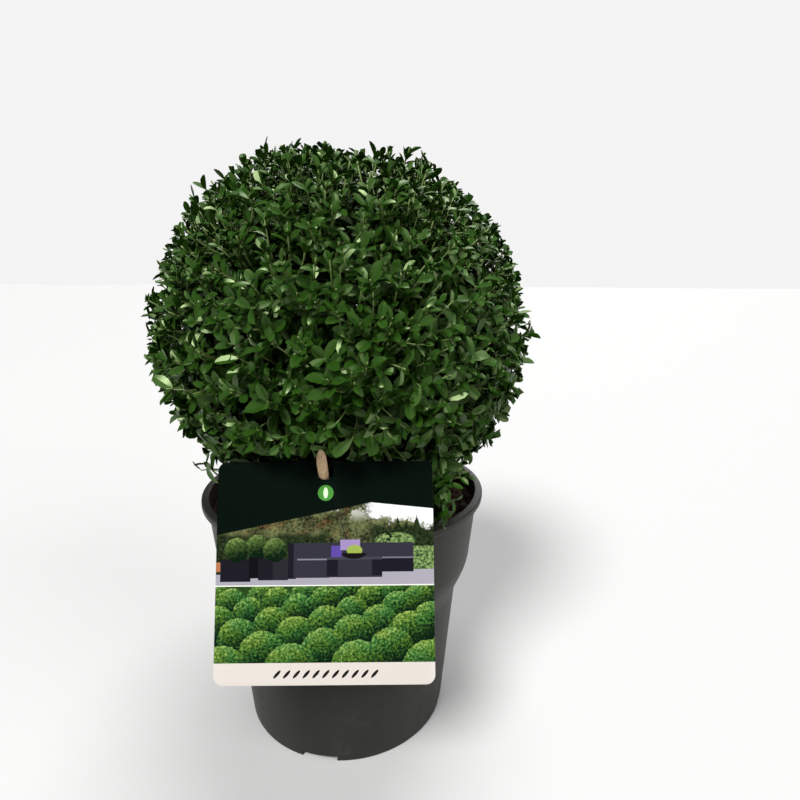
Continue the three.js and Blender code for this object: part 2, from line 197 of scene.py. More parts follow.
class Wire:
    """One socket of a finish. Python's operators on wires add their own Math nodes."""

    def __init__(self, finish, socket):
        self.finish = finish
        self.socket = socket

    def __add__(self, other):
        return self.finish.math("ADD", self, other)

    def __sub__(self, other):
        return self.finish.math("SUBTRACT", self, other)

    def __rsub__(self, other):
        return self.finish.math("SUBTRACT", other, self)

    def __mul__(self, other):
        return self.finish.math("MULTIPLY", self, other)

    def __truediv__(self, other):
        return self.finish.math("DIVIDE", self, other)

    def __gt__(self, other):
        return self.finish.math("GREATER_THAN", self, other)

    def __lt__(self, other):
        return self.finish.math("LESS_THAN", self, other)

    __radd__ = __add__
    __rmul__ = __mul__


class Finish:
    """A material and its nodes. Values that are the same all over go on the shader's own sockets."""

    def __init__(self, name, colour, roughness, gloss=None):
        self.material = bpy.data.materials.new(name)
        self.material.use_nodes = True
        self.tree = self.material.node_tree
        self.shader = self.tree.nodes["Principled BSDF"]
        self.feed(self.shader, {"Base Color": colour, "Roughness": roughness})
        self.feed(self.shader, gloss or {})

    def feed(self, node, sockets):
        for name, value in sockets.items():
            socket = node.inputs[name]
            if isinstance(value, Wire):
                self.tree.links.new(value.socket, socket)
            elif isinstance(value, tuple) and len(value) == 3 and len(socket.default_value) == 4:
                socket.default_value = (*value, 1)
            else:
                socket.default_value = value

    def paint(self, colour):
        self.feed(self.shader, {"Base Color": colour})

    def node(self, kind, settings, sockets, output=0):
        """Adds a node, sets it up, feeds its sockets and returns the wire of one output."""
        node = self.tree.nodes.new("ShaderNode" + kind)
        for name, value in settings.items():
            setattr(node, name, value)
        self.feed(node, sockets)
        return Wire(self, node.outputs[output])

    def math(self, operation, *values):
        return self.node("Math", {"operation": operation}, dict(enumerate(values)))

    def place(self):
        return self.node("TexCoord", {}, {}, "Object")

    def scaled(self, vector, scale):
        return self.node("VectorMath", {"operation": "MULTIPLY"}, {0: vector, 1: scale})

    def noise(self, vector, scale, detail=3.0, roughness=0.5):
        sockets = {"Vector": vector, "Scale": scale, "Detail": detail, "Roughness": roughness}
        return self.node("TexNoise", {}, sockets)

    def between(self, value, low, high):
        """How far a value has risen from low to high, as a smooth step from 0 to 1."""
        settings = {"interpolation_type": "SMOOTHSTEP"}
        return self.node("MapRange", settings, {"Value": value, "From Min": low, "From Max": high})

    def mix(self, share, low, high):
        """Mixes two colours."""
        node = self.tree.nodes.new("ShaderNodeMix")
        node.data_type = "RGBA"
        self.feed(node, {0: share})
        for index, colour in ((6, low), (7, high)):
            if isinstance(colour, Wire):
                self.tree.links.new(colour.socket, node.inputs[index])
            else:
                node.inputs[index].default_value = (*colour, 1)
        return Wire(self, node.outputs[2])

    def bump(self, height, distance, strength=1.0):
        sockets = {"Height": height, "Distance": distance, "Strength": strength}
        self.feed(self.shader, {"Normal": self.node("Bump", {}, sockets)})


def pot_finish():
    """Dark satin polypropylene: faint flow marks, a fine moulded grain and dusty scuffs low down."""
    finish = Finish("pot_plastic", (0.013, 0.0127, 0.0102), 0.5, {"Specular IOR Level": 0.24})
    place = finish.place()
    flow = finish.noise(finish.scaled(place, (1, 1, 0.25)), 22, 4)
    dust = finish.noise(place, 90, 5, 0.65)
    patches = finish.noise(place, 14, 2)
    height = finish.node("SeparateXYZ", {}, {0: place}, "Z")
    low_down = 1 - finish.between(height, 0.01, 0.075)
    scuffed = finish.between(dust, 0.5, 0.72) * finish.between(patches, 0.42, 0.62) * (0.25 + low_down)
    plain = finish.mix(finish.between(flow, 0.3, 0.7), (0.0105, 0.0103, 0.0082), (0.0145, 0.0142, 0.0115))
    finish.paint(finish.mix(scuffed * 0.3, plain, (0.06, 0.056, 0.046)))
    finish.feed(finish.shader, {"Roughness": 0.43 + flow * 0.12 + scuffed * 0.25})
    finish.bump(finish.noise(place, 900, 2) + flow * 0.6, 0.00006)
    return finish.material


def finished(piece, node_names, materials):
    """Gives a piece its materials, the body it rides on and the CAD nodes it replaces."""
    piece.data.materials.clear()
    for material in materials:
        piece.data.materials.append(material)
    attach(piece, "root")
    if node_names:
        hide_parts(*node_names)
    return piece


def smooth_by_angle(piece, degrees):
    deselect_all()
    piece.select_set(True)
    bpy.context.view_layer.objects.active = piece
    bpy.ops.object.shade_smooth_by_angle(angle=math.radians(degrees))


pot = turned_piece("nursery_pot", pot_rings(), POT_SIDES)
cut_away(pot, drain_cutters())
smooth_by_angle(pot, 35)
finished(pot, ["pot"], [pot_finish()])

# --- Root ball ---
# Moist dark peat that fills the pot to a finger's width below the rim. It is lumpy on top, with
# crumbs, coir and bark fibres, and a little pale grit, and it is highest round the stems.
PEAT_GAP = 0.0003
PEAT_EDGE = 0.157
PEAT_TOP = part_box("root_ball")[1].z
PEAT_FLAT_RADIUS = 0.036
PEAT_BEDDING = 0.0016
CRUMB_COUNT = 3000
CRUMB_SIZES = (0.0006, 0.0034)
FIBRE_COUNT = 420
FIBRE_SIZES = (0.0025, 0.009)
FIBRE_STRETCH = ((0.9, 0.07, 0.07), (1.3, 0.15, 0.15))
FIBRE_LIFT = 0.0012
GRIT_COUNT = 110
GRIT_SIZES = (0.0004, 0.0014)
dice = np.random.default_rng(20)


def collar_radius(height):
    """The collar's inner radius at a height."""
    share = (height - COLLAR_FOOT[1]) / (POT_HEIGHT - COLLAR_FOOT[1])
    return COLLAR_FOOT[0] + (COLLAR_TOP_RADIUS - COLLAR_FOOT[0]) * share - WALL


def peat_height(radius):
    """The height of the peat's top at a distance from the pot's axis, before its lumps."""
    share = np.clip((radius - PEAT_FLAT_RADIUS) / (collar_radius(PEAT_EDGE) - PEAT_FLAT_RADIUS), 0, 1)
    return PEAT_TOP + (PEAT_EDGE - PEAT_TOP) * share


def peat_rings():
    inset = WALL + PEAT_GAP
    base_radius = BASE_RADIUS - inset
    rings = [(CENTRE_RADIUS, FOOT_HEIGHT + inset), (base_radius - 0.004, FOOT_HEIGHT + inset)]
    rings += [(base_radius, FOOT_HEIGHT + inset + 0.004)]
    rings += shoulder(inset)
    edge = collar_radius(PEAT_EDGE) - PEAT_GAP
    rings += [(edge, PEAT_EDGE - 0.001)]
    rings += [(radius, float(peat_height(radius))) for radius in np.linspace(edge, CENTRE_RADIUS, 46)]
    return rings


def lump_peat(peat):
    """Raises and sinks the open top of the peat in lumps of two sizes, with the edge held down."""
    top = peat.vertex_groups.new(name="top")
    for vertex in peat.data.vertices:
        radius = math.hypot(vertex.co.x, vertex.co.y)
        if vertex.co.z > PEAT_EDGE - 0.0005:
            top.add([vertex.index], min(1.0, (collar_radius(PEAT_EDGE) - radius) / 0.003), "REPLACE")
    for size, strength in ((0.011, 0.0045), (0.0035, 0.0022)):
        texture = bpy.data.textures.new("lumps", "CLOUDS")
        texture.noise_scale = size
        lumps = peat.modifiers.new("lumps", "DISPLACE")
        lumps.texture = texture
        lumps.texture_coords = "LOCAL"
        lumps.direction = "Z"
        lumps.strength = strength
        lumps.mid_level = 0.75
        lumps.vertex_group = top.name
        bpy.ops.object.modifier_apply(modifier=lumps.name)


def peat_finish():
    """Moist peat: dark and lighter clods under fine pale specks, rough all over."""
    finish = Finish("peat", (0.03, 0.016, 0.009), 0.9, {"Specular IOR Level": 0.25})
    place = finish.place()
    fine = finish.noise(place, 420, 5, 0.7)
    coarse = finish.noise(place, 130, 3)
    dark = finish.mix(finish.between(coarse, 0.35, 0.65), (0.06, 0.031, 0.018), (0.2, 0.108, 0.064))
    finish.paint(finish.mix(finish.between(fine, 0.62, 0.75), dark, (0.34, 0.23, 0.15)))
    finish.bump(fine + coarse, 0.0012)
    return finish.material


def joined_mesh(name, points, faces, numbers, smooth=True):
    """A mesh piece from arrays of points, triangles and the number of each triangle's material."""
    mesh = bpy.data.meshes.new(name)
    mesh.vertices.add(len(points))
    mesh.vertices.foreach_set("co", points.astype(np.float32).ravel())
    mesh.loops.add(faces.size)
    mesh.loops.foreach_set("vertex_index", faces.astype(np.int32).ravel())
    mesh.polygons.add(len(faces))
    mesh.polygons.foreach_set("loop_start", np.arange(0, faces.size, 3, dtype=np.int32))
    mesh.polygons.foreach_set("material_index", numbers.astype(np.int32))
    mesh.polygons.foreach_set("use_smooth", np.full(len(faces), smooth))
    mesh.update(calc_edges=True)
    piece = bpy.data.objects.new(name, mesh)
    bpy.context.scene.collection.objects.link(piece)
    return piece


def master_shape(add, **settings):
    """The points and triangles of one primitive, which is removed again."""
    deselect_all()
    add(**settings)
    master = bpy.context.object
    points = np.array([vertex.co[:] for vertex in master.data.vertices])
    faces = np.array([polygon.vertices[:] for polygon in master.data.polygons])
    bpy.data.objects.remove(master)
    return points, faces


def random_turns(count):
    """That many random rotation matrices."""
    quaternions = dice.normal(size=(count, 4))
    quaternions /= np.linalg.norm(quaternions, axis=1)[:, None]
    w, x, y, z = quaternions.T
    rows = [
        [1 - 2 * (y * y + z * z), 2 * (x * y - z * w), 2 * (x * z + y * w)],
        [2 * (x * y + z * w), 1 - 2 * (x * x + z * z), 2 * (y * z - x * w)],
        [2 * (x * z - y * w), 2 * (y * z + x * w), 1 - 2 * (x * x + y * y)],
    ]
    return np.array(rows).transpose(2, 0, 1)


def strewn(count, master, sizes, stretch):
    """Copies of a master shape strewn over the peat, each turned, stretched and roughened."""
    points, faces = master
    radius = np.sqrt(dice.uniform(0.02, 1, count)) * (collar_radius(PEAT_EDGE) - 0.0035)
    angle = dice.uniform(0, 2 * math.pi, count)
    size = sizes[0] + (sizes[1] - sizes[0]) * dice.random(count) ** 2
    shape = points[None] * dice.uniform(0.75, 1.25, (count, len(points), 1))
    shape = shape * (size[:, None] * dice.uniform(*stretch, (count, 3)))[:, None]
    shape = np.einsum("nij,nvj->nvi", random_turns(count), shape)
    shape[..., 2] *= 0.7
    place = [radius * np.cos(angle), radius * np.sin(angle), peat_height(radius) - PEAT_BEDDING]
    shape += np.array(place).T[:, None]
    shape[..., 2] += dice.uniform(-0.0006, 0.0012, count)[:, None]
    all_faces = faces[None] + (np.arange(count) * len(points))[:, None, None]
    return shape.reshape(-1, 3), all_faces.reshape(-1, 3)


CRUMB_COLOURS = [(0.05, 0.026, 0.015), (0.17, 0.09, 0.053), (0.36, 0.215, 0.135), (0.6, 0.45, 0.32)]

peat = turned_piece("peat", peat_rings(), POT_SIDES)
lump_peat(peat)
smooth_by_angle(peat, 80)
finished(peat, ["root_ball"], [peat_finish()])

crumb = master_shape(bpy.ops.mesh.primitive_ico_sphere_add, subdivisions=1, radius=1)
points, faces = strewn(CRUMB_COUNT, crumb, CRUMB_SIZES, (0.5, 1.2))
numbers = np.repeat(dice.choice(4, CRUMB_COUNT, p=[0.35, 0.35, 0.2, 0.1]), len(crumb[1]))
crumbs = joined_mesh("peat_crumbs", points, faces, numbers, smooth=False)
crumb_finishes = [
    Finish(f"crumb_{number}", colour, 0.9, {"Specular IOR Level": 0.25}).material
    for number, colour in enumerate(CRUMB_COLOURS)
]
finished(crumbs, [], crumb_finishes)

grit_points, grit_faces = strewn(GRIT_COUNT, crumb, GRIT_SIZES, (0.6, 1.1))
points, faces = strewn(FIBRE_COUNT, crumb, FIBRE_SIZES, FIBRE_STRETCH)
points[:, 2] += FIBRE_LIFT
fibres = joined_mesh("peat_fibres", points, faces, dice.integers(1, 4, len(faces)))
finished(fibres, [], crumb_finishes)

grit = joined_mesh("peat_grit", grit_points, grit_faces, np.zeros(len(grit_faces)), smooth=False)
finished(grit, [], [Finish("grit", (0.6, 0.55, 0.46), 0.8).material])

# --- Stems and boughs ---
# Old box wood: grey-brown, with fine corky ridges along it. A leader and three lesser stems rise
# from the root ball, and boughs fork off below the crown and run out into the lower shoots.
LIMB_SIDES = 20
LIMB_STEPS = 28
STEMS = ["leader_stem", "stem_front", "stem_left", "stem_right"]
RISING = STEMS + ["bough_back", "bough_front_left", "bough_right"]
SKIRTS = ["front_right", "right", "back_right", "back", "back_left", "left", "front"]


def node_points(name):
    return np.array([vertex.co[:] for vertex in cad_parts[name].data.vertices])


def limb_course(name, slices=4):
    """A CAD limb's centre line and radii, from its foot to its tip, by slicing it along its length."""
    points = node_points(name)
    middle = points.mean(0)
    direction = np.linalg.svd(points - middle, full_matrices=False)[2][0]
    outward = np.array([0, 0, 1.0]) if name in RISING else np.array([middle[0], middle[1], 0])
    if direction @ outward < 0:
        direction = -direction
    along = (points - middle) @ direction
    groups = np.array_split(np.argsort(along), slices)
    centres = np.array([points[group].mean(0) for group in groups])
    middles = np.array([along[group].mean() for group in groups])
    centres[0] += direction * (along.min() - middles[0])
    centres[-1] += direction * (along.max() - middles[-1])
    spokes = [np.cross(points[group] - centre, direction) for group, centre in zip(groups, centres)]
    return centres, np.array([np.linalg.norm(spoke, axis=1).max() for spoke in spokes])


def smooth_course(centres, radii, count):
    """A course resampled smoothly at that many places."""
    known = np.linspace(0, 1, len(centres))
    wanted = np.linspace(0, 1, count)
    steps = np.array([np.interp(wanted, known, centres[:, axis]) for axis in range(3)]).T
    width = np.interp(wanted, known, radii)
    for _ in range(3):
        steps[1:-1] = (steps[:-2] + 2 * steps[1:-1] + steps[2:]) / 4
    return steps, width


def tubes(paths, radii, sides, tip=1.0):
    """Closed tubes along many paths at once. Radii are for each path and step, and may be for each side."""
    count, steps, _ = paths.shape
    radii = radii[..., None] if radii.ndim == 2 else radii
    tangent = np.gradient(paths, axis=1)
    tangent /= np.linalg.norm(tangent, axis=2, keepdims=True) + 1e-12
    spare = np.where(np.abs(tangent[:, :1, 2:]) < 0.8, [[[0, 0, 1.0]]], [[[1.0, 0, 0]]])
    side = np.cross(tangent, np.broadcast_to(spare, tangent.shape))
    side /= np.linalg.norm(side, axis=2, keepdims=True) + 1e-12
    other = np.cross(tangent, side)
    angle = np.linspace(0, 2 * math.pi, sides, endpoint=False)
    ring = side[:, :, None] * np.cos(angle)[:, None] + other[:, :, None] * np.sin(angle)[:, None]
    shell = paths[:, :, None] + ring * radii[..., None]
    ends = paths[:, [0, -1]].copy()
    ends[:, 1] += tangent[:, -1] * radii[:, -1, :1] * tip
    points = np.concatenate([shell.reshape(count, -1, 3), ends], axis=1)
    around = np.arange(sides)
    following = (around + 1) % sides
    faces = []
    for step in range(steps - 1):
        low, high = step * sides, (step + 1) * sides
        faces += [np.stack([low + around, low + following, high + following], 1)]
        faces += [np.stack([low + around, high + following, high + around], 1)]
    foot, head, last = steps * sides, steps * sides + 1, (steps - 1) * sides
    faces += [np.stack([np.full(sides, foot), following, around], 1)]
    faces += [np.stack([np.full(sides, head), last + around, last + following], 1)]
    one = np.concatenate(faces)
    every = one[None] + (np.arange(count) * points.shape[1])[:, None, None]
    return points.reshape(-1, 3), every.reshape(-1, 3), len(one)


def bark_relief(steps, width, seed):
    """A limb's radius at every step and side: long ridges that wander, with fine cracks between."""
    angle = np.linspace(0, 2 * math.pi, LIMB_SIDES, endpoint=False)[None]
    run = np.linspace(0, len(steps) * 0.35, len(steps))[:, None]
    ridges = np.sin(5 * angle + 1.3 * np.sin(run * 0.6 + seed)) * 0.05
    ridges += np.sin(9 * angle - run * 0.9 + seed * 2) * 0.03
    knots = np.sin(run * 1.7 + seed * 3) * 0.035
    return width[:, None] * (1 + ridges + knots)


def bark_finish():
    """Grey-brown bark with a grain along the limb and paler corky patches."""
    finish = Finish("bark", (0.2, 0.14, 0.085), 0.85, {"Specular IOR Level": 0.3})
    place = finish.place()
    grain = finish.noise(finish.scaled(place, (1, 1, 0.22)), 900, 4, 0.65)
    patches = finish.noise(place, 160, 3)
    dull = finish.mix(finish.between(grain, 0.35, 0.65), (0.075, 0.05, 0.032), (0.25, 0.19, 0.12))
    finish.paint(finish.mix(finish.between(patches, 0.55, 0.75), dull, (0.3, 0.27, 0.21)))
    finish.bump(grain, 0.0006)
    return finish.material


bark = bark_finish()
for number, node_name in enumerate(RISING + [f"side_bough_{skirt}" for skirt in SKIRTS]):
    centres, radii = limb_course(node_name)
    steps, width = smooth_course(centres, radii, LIMB_STEPS)
    relief = bark_relief(steps, width * 0.97, number)
    points, faces, _ = tubes(steps[None], relief[None], LIMB_SIDES, tip=0.1)
    limb = joined_mesh(f"{node_name}_bark", points, faces, np.zeros(len(faces)))
    finished(limb, [node_name], [bark])

# --- Crown wood ---
# Inside the clipped ball the stems carry on as boughs, fork into twigs and end in leafy shoots.
# The wood is grey-brown on the boughs, tan on the twigs and green on this year's shoots.
CROWN_HALF_HEIGHT = 0.115
HEART = np.array([0, 0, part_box("crown")[1].z - CROWN_HALF_HEIGHT])
BOUGH_COUNT = 44
TWIG_COUNT = 260
SHOOT_COUNT = 2000
INNER_COUNT = 650
GAP_COUNT = 85
CROWN_LEAF = 0.0094
SHOOT_STEPS = 7
SPRIG_SHARE = 0.03
BARE_FOOT_TOP = 0.206
BARE_FOOT_RADIUS = 0.055
CUT_WOOD = 3
# Where the shears left the ball fuller or flatter: the direction, the width in radians and the rise.
TRIMS = [
    ((-0.78, -0.37, 0.5), 0.35, -0.0045),
    ((-0.73, -0.46, -0.51), 0.35, -0.003),
    ((0.85, -0.28, -0.44), 0.3, 0.0035),
    ((0.34, -0.2, 0.92), 0.09, 0.004),
    ((0.97, -0.2, 0.0), 0.25, 0.0035),
    ((-0.96, -0.25, 0.17), 0.15, 0.0025),
    ((-0.79, -0.35, 0.5), 0.035, 0.009),
    ((0.1, -0.3, 0.95), 0.05, 0.003),
]


def unit(vectors):
    return vectors / (np.linalg.norm(vectors, axis=-1, keepdims=True) + 1e-12)


def skin(node_name):
    """A mass's faces, for finding where a line from inside it comes out."""
    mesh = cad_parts[node_name].data
    return BVHTree.FromPolygons([v.co for v in mesh.vertices], [p.vertices for p in mesh.polygons])


def reach(surface, origin, directions):
    """How far a mass reaches from a place inside it, in each direction."""
    hits = [surface.ray_cast(Vector(origin), Vector(direction))[3] for direction in directions]
    return np.array([hit or 0.0 for hit in hits])


def spread_directions(count, jitter):
    """Directions spread evenly over a sphere, each then moved a little."""
    rank = np.arange(count) + 0.5
    height = 1 - 2 * rank / count
    turn = rank * math.pi * (1 + 5**0.5)
    flat = np.sqrt(1 - height**2)
    directions = np.array([flat * np.cos(turn), flat * np.sin(turn), height]).T
    return unit(directions + dice.normal(0, jitter, directions.shape))


def grown(parents, tips, share, rise, steps):
    """New wood from parent paths: each piece leaves the parent that ends nearest and bends upwards."""
    parent = np.argmin(np.linalg.norm(tips[:, None] - parents[None, :, -1], axis=2), axis=1)
    along = dice.uniform(*share, len(tips)) * (parents.shape[1] - 1)
    below = np.minimum(along.astype(int), parents.shape[1] - 2)
    low, high = parents[parent, below], parents[parent, below + 1]
    starts = low + (high - low) * (along - below)[:, None]
    span = np.linalg.norm(tips - starts, axis=1)[:, None]
    straight = (tips - starts) / span
    leave = unit(unit(high - low) * 0.9 + straight)
    arrive = unit(straight + np.array([0, 0, 1]) * rise + dice.normal(0, 0.14, tips.shape))
    ends = [starts, starts + leave * span * 0.35, tips - arrive * span * 0.35, tips]
    return cubic(ends, steps)


def tapered(paths, foot, tip):
    """Radii that taper evenly along each path."""
    return np.broadcast_to(np.linspace(foot, tip, paths.shape[1]), paths.shape[:2])


def wood_piece(name, groups, materials):
    """One joined piece of wood from (paths, radii, sides, material numbers) groups."""
    all_points, all_faces, all_numbers, offset = [], [], [], 0
    for paths, radii, sides, numbers in groups:
        points, faces, each = tubes(paths, radii, sides, tip=0.6)
        all_points.append(points)
        all_faces.append(faces + offset)
        all_numbers.append(np.repeat(numbers, each))
        offset += len(points)
    joined = [np.concatenate(part) for part in (all_points, all_faces, all_numbers)]
    return finished(joined_mesh(name, *joined), [], materials)


def trimmed(directions):
    """How much longer or shorter the shears left the ball in each direction."""
    change = np.zeros(len(directions))
    for centre, spread, amount in TRIMS:
        angle = np.arccos(np.clip(directions @ unit(np.array(centre)), -1, 1))
        change += amount * np.exp(-((angle / spread) ** 2))
    return change


crown_skin = skin("crown")
limbs = np.array([smooth_course(*limb_course(name), LIMB_STEPS)[0] for name in RISING])

directions = spread_directions(BOUGH_COUNT, 0.12)
bough_reach = reach(crown_skin, HEART, directions) * dice.uniform(0.42, 0.55, BOUGH_COUNT)
boughs = grown(limbs, HEART + directions * bough_reach[:, None], (0.97, 0.99), 0.2, 12)

directions = spread_directions(TWIG_COUNT, 0.06)
twig_reach = reach(crown_skin, HEART, directions) * dice.uniform(0.66, 0.8, TWIG_COUNT)
twigs = grown(boughs, HEART + directions * twig_reach[:, None], (0.4, 0.98), 0.15, 9)

outer = np.arange(SHOOT_COUNT + INNER_COUNT) < SHOOT_COUNT
directions = np.concatenate([spread_directions(SHOOT_COUNT, 0.03), spread_directions(INNER_COUNT, 0.1)])
gaps = unit(dice.normal(size=(GAP_COUNT, 3)))
gap_width = dice.uniform(0.03, 0.07, GAP_COUNT) * np.interp(gaps[:, 2], (-0.1, 0.4), (1.4, 0.65))
in_gap = (np.arccos(np.clip(directions @ gaps.T, -1, 1)) / gap_width).min(axis=1) < 1
shoot_reach = reach(crown_skin, HEART, directions) - CROWN_LEAF * 0.5
shoot_reach = shoot_reach + dice.normal(0, 0.0022, len(directions))
shoot_reach += trimmed(directions)
shoot_reach -= np.where(outer, 0, dice.uniform(0.012, 0.04, len(directions)))
shoot_reach -= np.where(in_gap & outer, dice.uniform(0.01, 0.022, len(directions)), 0)
sprigs = (dice.random(len(directions)) < SPRIG_SHARE) & ~in_gap & outer
shoot_reach += np.where(sprigs, dice.uniform(0, 0.003, len(directions)), 0)
shoot_tips = HEART + directions * shoot_reach[:, None]
from_axis = np.hypot(shoot_tips[:, 0], shoot_tips[:, 1])
leafy = (shoot_tips[:, 2] > BARE_FOOT_TOP) | (from_axis > BARE_FOOT_RADIUS)
shoot_tips, sprigs = shoot_tips[leafy], sprigs[leafy]
shoots = grown(twigs, shoot_tips, (0.3, 1.0), 0.35, SHOOT_STEPS)

twig_finishes = [
    Finish("shoot_green", (0.1, 0.15, 0.035), 0.55).material,
    Finish("twig_tan", (0.22, 0.17, 0.085), 0.7).material,
    Finish("twig_brown", (0.1, 0.07, 0.045), 0.8).material,
    Finish("twig_cut", (0.42, 0.36, 0.2), 0.7).material,
]
bough_group = (boughs, tapered(boughs, 0.0022, 0.0013), 8, np.zeros(len(boughs), int))
wood_piece("crown_boughs", [bough_group], [bark])
twig_group = (twigs, tapered(twigs, 0.0013, 0.0007), 6, dice.integers(1, 3, len(twigs)))
wood_piece("crown_twigs", [twig_group], twig_finishes)

# --- Skirt wood ---
# Low side boughs that the shears leave longer. They fork low down and fan out into shoots under
# the ball, and the one at the front right droops to the peat.
SKIRT_SHOOTS = 130
SKIRT_TWIGS = 16
SKIRT_LEAF = 0.0158
DROOP_SHOOTS = 14
DROOP_PLACE = (0.0615, -0.071, 0.181)
DROOP_SPREAD = (0.0025, 0.0025, 0.008)
# Low places at the left and the right where the peat lies open to view, each from corner to corner.
FAR = math.inf
OPEN_PLACES = [
    ((0.058, -0.064, -FAR), (FAR, 0.05, 0.191)),
    ((-FAR, -FAR, -FAR), (-0.05, 0.02, 0.189)),
    ((-FAR, -FAR, -FAR), (-0.05, FAR, 0.174)),
]


def open_peat(points):
    """Which points are in a place that stays free of leaves."""
    inside = [((points > low) & (points < high)).all(axis=-1) for low, high in OPEN_PLACES]
    return np.any(inside, axis=0)


def skirt_wood(skirt):
    """A skirt's twigs and shoots, grown from its side bough out to its skin."""
    surface = skin(f"skirt_{skirt}")
    middle = node_points(f"skirt_{skirt}").mean(0)
    side_bough = smooth_course(*limb_course(f"side_bough_{skirt}"), LIMB_STEPS)[0][None]
    outward = unit(np.array([middle[0], middle[1], 0]))
    directions = spread_directions(SKIRT_TWIGS, 0.15)
    span = reach(surface, middle, directions) * dice.uniform(0.4, 0.6, SKIRT_TWIGS)
    tips = middle + directions * span[:, None]
    forks = grown(side_bough, tips, (0.8, 0.99), 0.1, 8)
    directions = spread_directions(SKIRT_SHOOTS, 0.08)
    span = reach(surface, middle, directions) - SKIRT_LEAF * 0.45 + dice.normal(0, 0.003, SKIRT_SHOOTS)
    open_side = (directions @ outward > -0.45) & (span > 0.006)
    tips = middle + directions[open_side] * span[open_side][:, None]
    tips = tips[~open_peat(tips)]
    if skirt == "front_right":
        tips = np.concatenate([tips, dice.normal(DROOP_PLACE, DROOP_SPREAD, (DROOP_SHOOTS, 3))])
    return forks, middle, grown(forks, tips, (0.25, 1.0), 0.0, SHOOT_STEPS)


skirt_growth = {skirt: skirt_wood(skirt) for skirt in SKIRTS}
skirt_twigs = np.concatenate([growth[0] for growth in skirt_growth.values()])
twig_kinds = dice.integers(1, 3, len(skirt_twigs))
twig_group = (skirt_twigs, tapered(skirt_twigs, 0.0013, 0.0007), 6, twig_kinds)
wood_piece("skirt_twigs", [twig_group], twig_finishes)

# --- Picture card ---
# A square of stiff plastic card with round corners, printed on its front with a garden and a field
# of clipped balls, and plain behind. It hangs on the peg by a punched hole and leans on the lip.
CARD_SIZE = 0.118
CARD_THICKNESS = 0.0006
CARD_CORNER = 0.005
CARD_TILT = math.radians(18.2)
CARD_TURN = math.radians(-0.8)
CARD_EDGE_ROUND = 0.00008
HOLE_RADIUS = 0.0047
HOLE_DROP = 0.0054
INK = (0.65, 0.65, 0.65)
BACK_COLOUR = (0.4, 0.38, 0.34)
SHADOW_INK = (0.011, 0.0105, 0.016)
# The print's layout, in millimetres from the card's top left corner.
GARDEN_TOP = 22.5
GARDEN_FOOT = 66.2
FIELD_FOOT = 106.5
DASH_HEIGHT = 112.3
DASH_SPACING = 5.2
# The field's rows, from far to near: each row's top, its balls' radius and their spacing.
BALL_ROWS = [
    (64.2, 7.6, 23.5),
    (67.6, 8.4, 25),
    (72, 9.2, 27),
    (77.2, 10.4, 28.5),
    (83, 11.3, 31),
    (89.6, 12.5, 34.5),
    (97, 14.2, 37),
]

card_low, card_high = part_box("picture_card")
card_lean = Matrix.Rotation(-CARD_TILT, 4, "X")
card_turn = Matrix.Rotation(CARD_TURN, 4, "Y")
card_place = Matrix.Translation((card_low + card_high) / 2) @ card_lean @ card_turn


class Print(Finish):
    """A print on the card's front. Shapes are laid over each other, in millimetres from its top left."""

    def __init__(self, name, ground, roughness, gloss):
        super().__init__(name, ground, roughness, gloss)
        self.colour = ground
        middle = tuple(card_place.translation)
        from_middle = self.node("VectorMath", {"operation": "SUBTRACT"}, {0: self.place(), 1: middle})
        across, out, up = (self.along(from_middle, card_place.to_3x3().col[axis]) for axis in range(3))
        half = CARD_SIZE * 500
        self.across = across * 1000 + half
        self.down = half - up * 1000
        self.front = out * -1000 > CARD_THICKNESS * 400
        self.grid = self.node("CombineXYZ", {}, {"X": self.across, "Y": self.down})

    def along(self, vector, direction):
        settings = {"operation": "DOT_PRODUCT"}
        return self.node("VectorMath", settings, {0: vector, 1: tuple(direction)}, "Value")

    def lay(self, mask, colour):
        self.colour = self.mix(mask, self.colour, colour)

    def box(self, left, right, top, bottom):
        sides = (self.across > left) * (self.across < right)
        return sides * (self.down > top) * (self.down < bottom)

    def disc(self, across, down, half_width, half_height, ragged=0.0):
        x = (self.across - across) / half_width
        y = (self.down - down) / half_height
        return x * x + y * y + ragged < 1

    def ball(self, x, y, bits, sunny, leafy):
        """A clipped ball's leafy colours: sunny on top and dark below."""
        shade = self.between(y + x * 0.3 + (bits - 0.5) * 6, -1.7, 1.1)
        lower = self.mix(self.between(shade, 0.45, 0.95), leafy, (0.003, 0.012, 0.005))
        return self.mix(self.between(shade, 0, 0.5), sunny, lower)


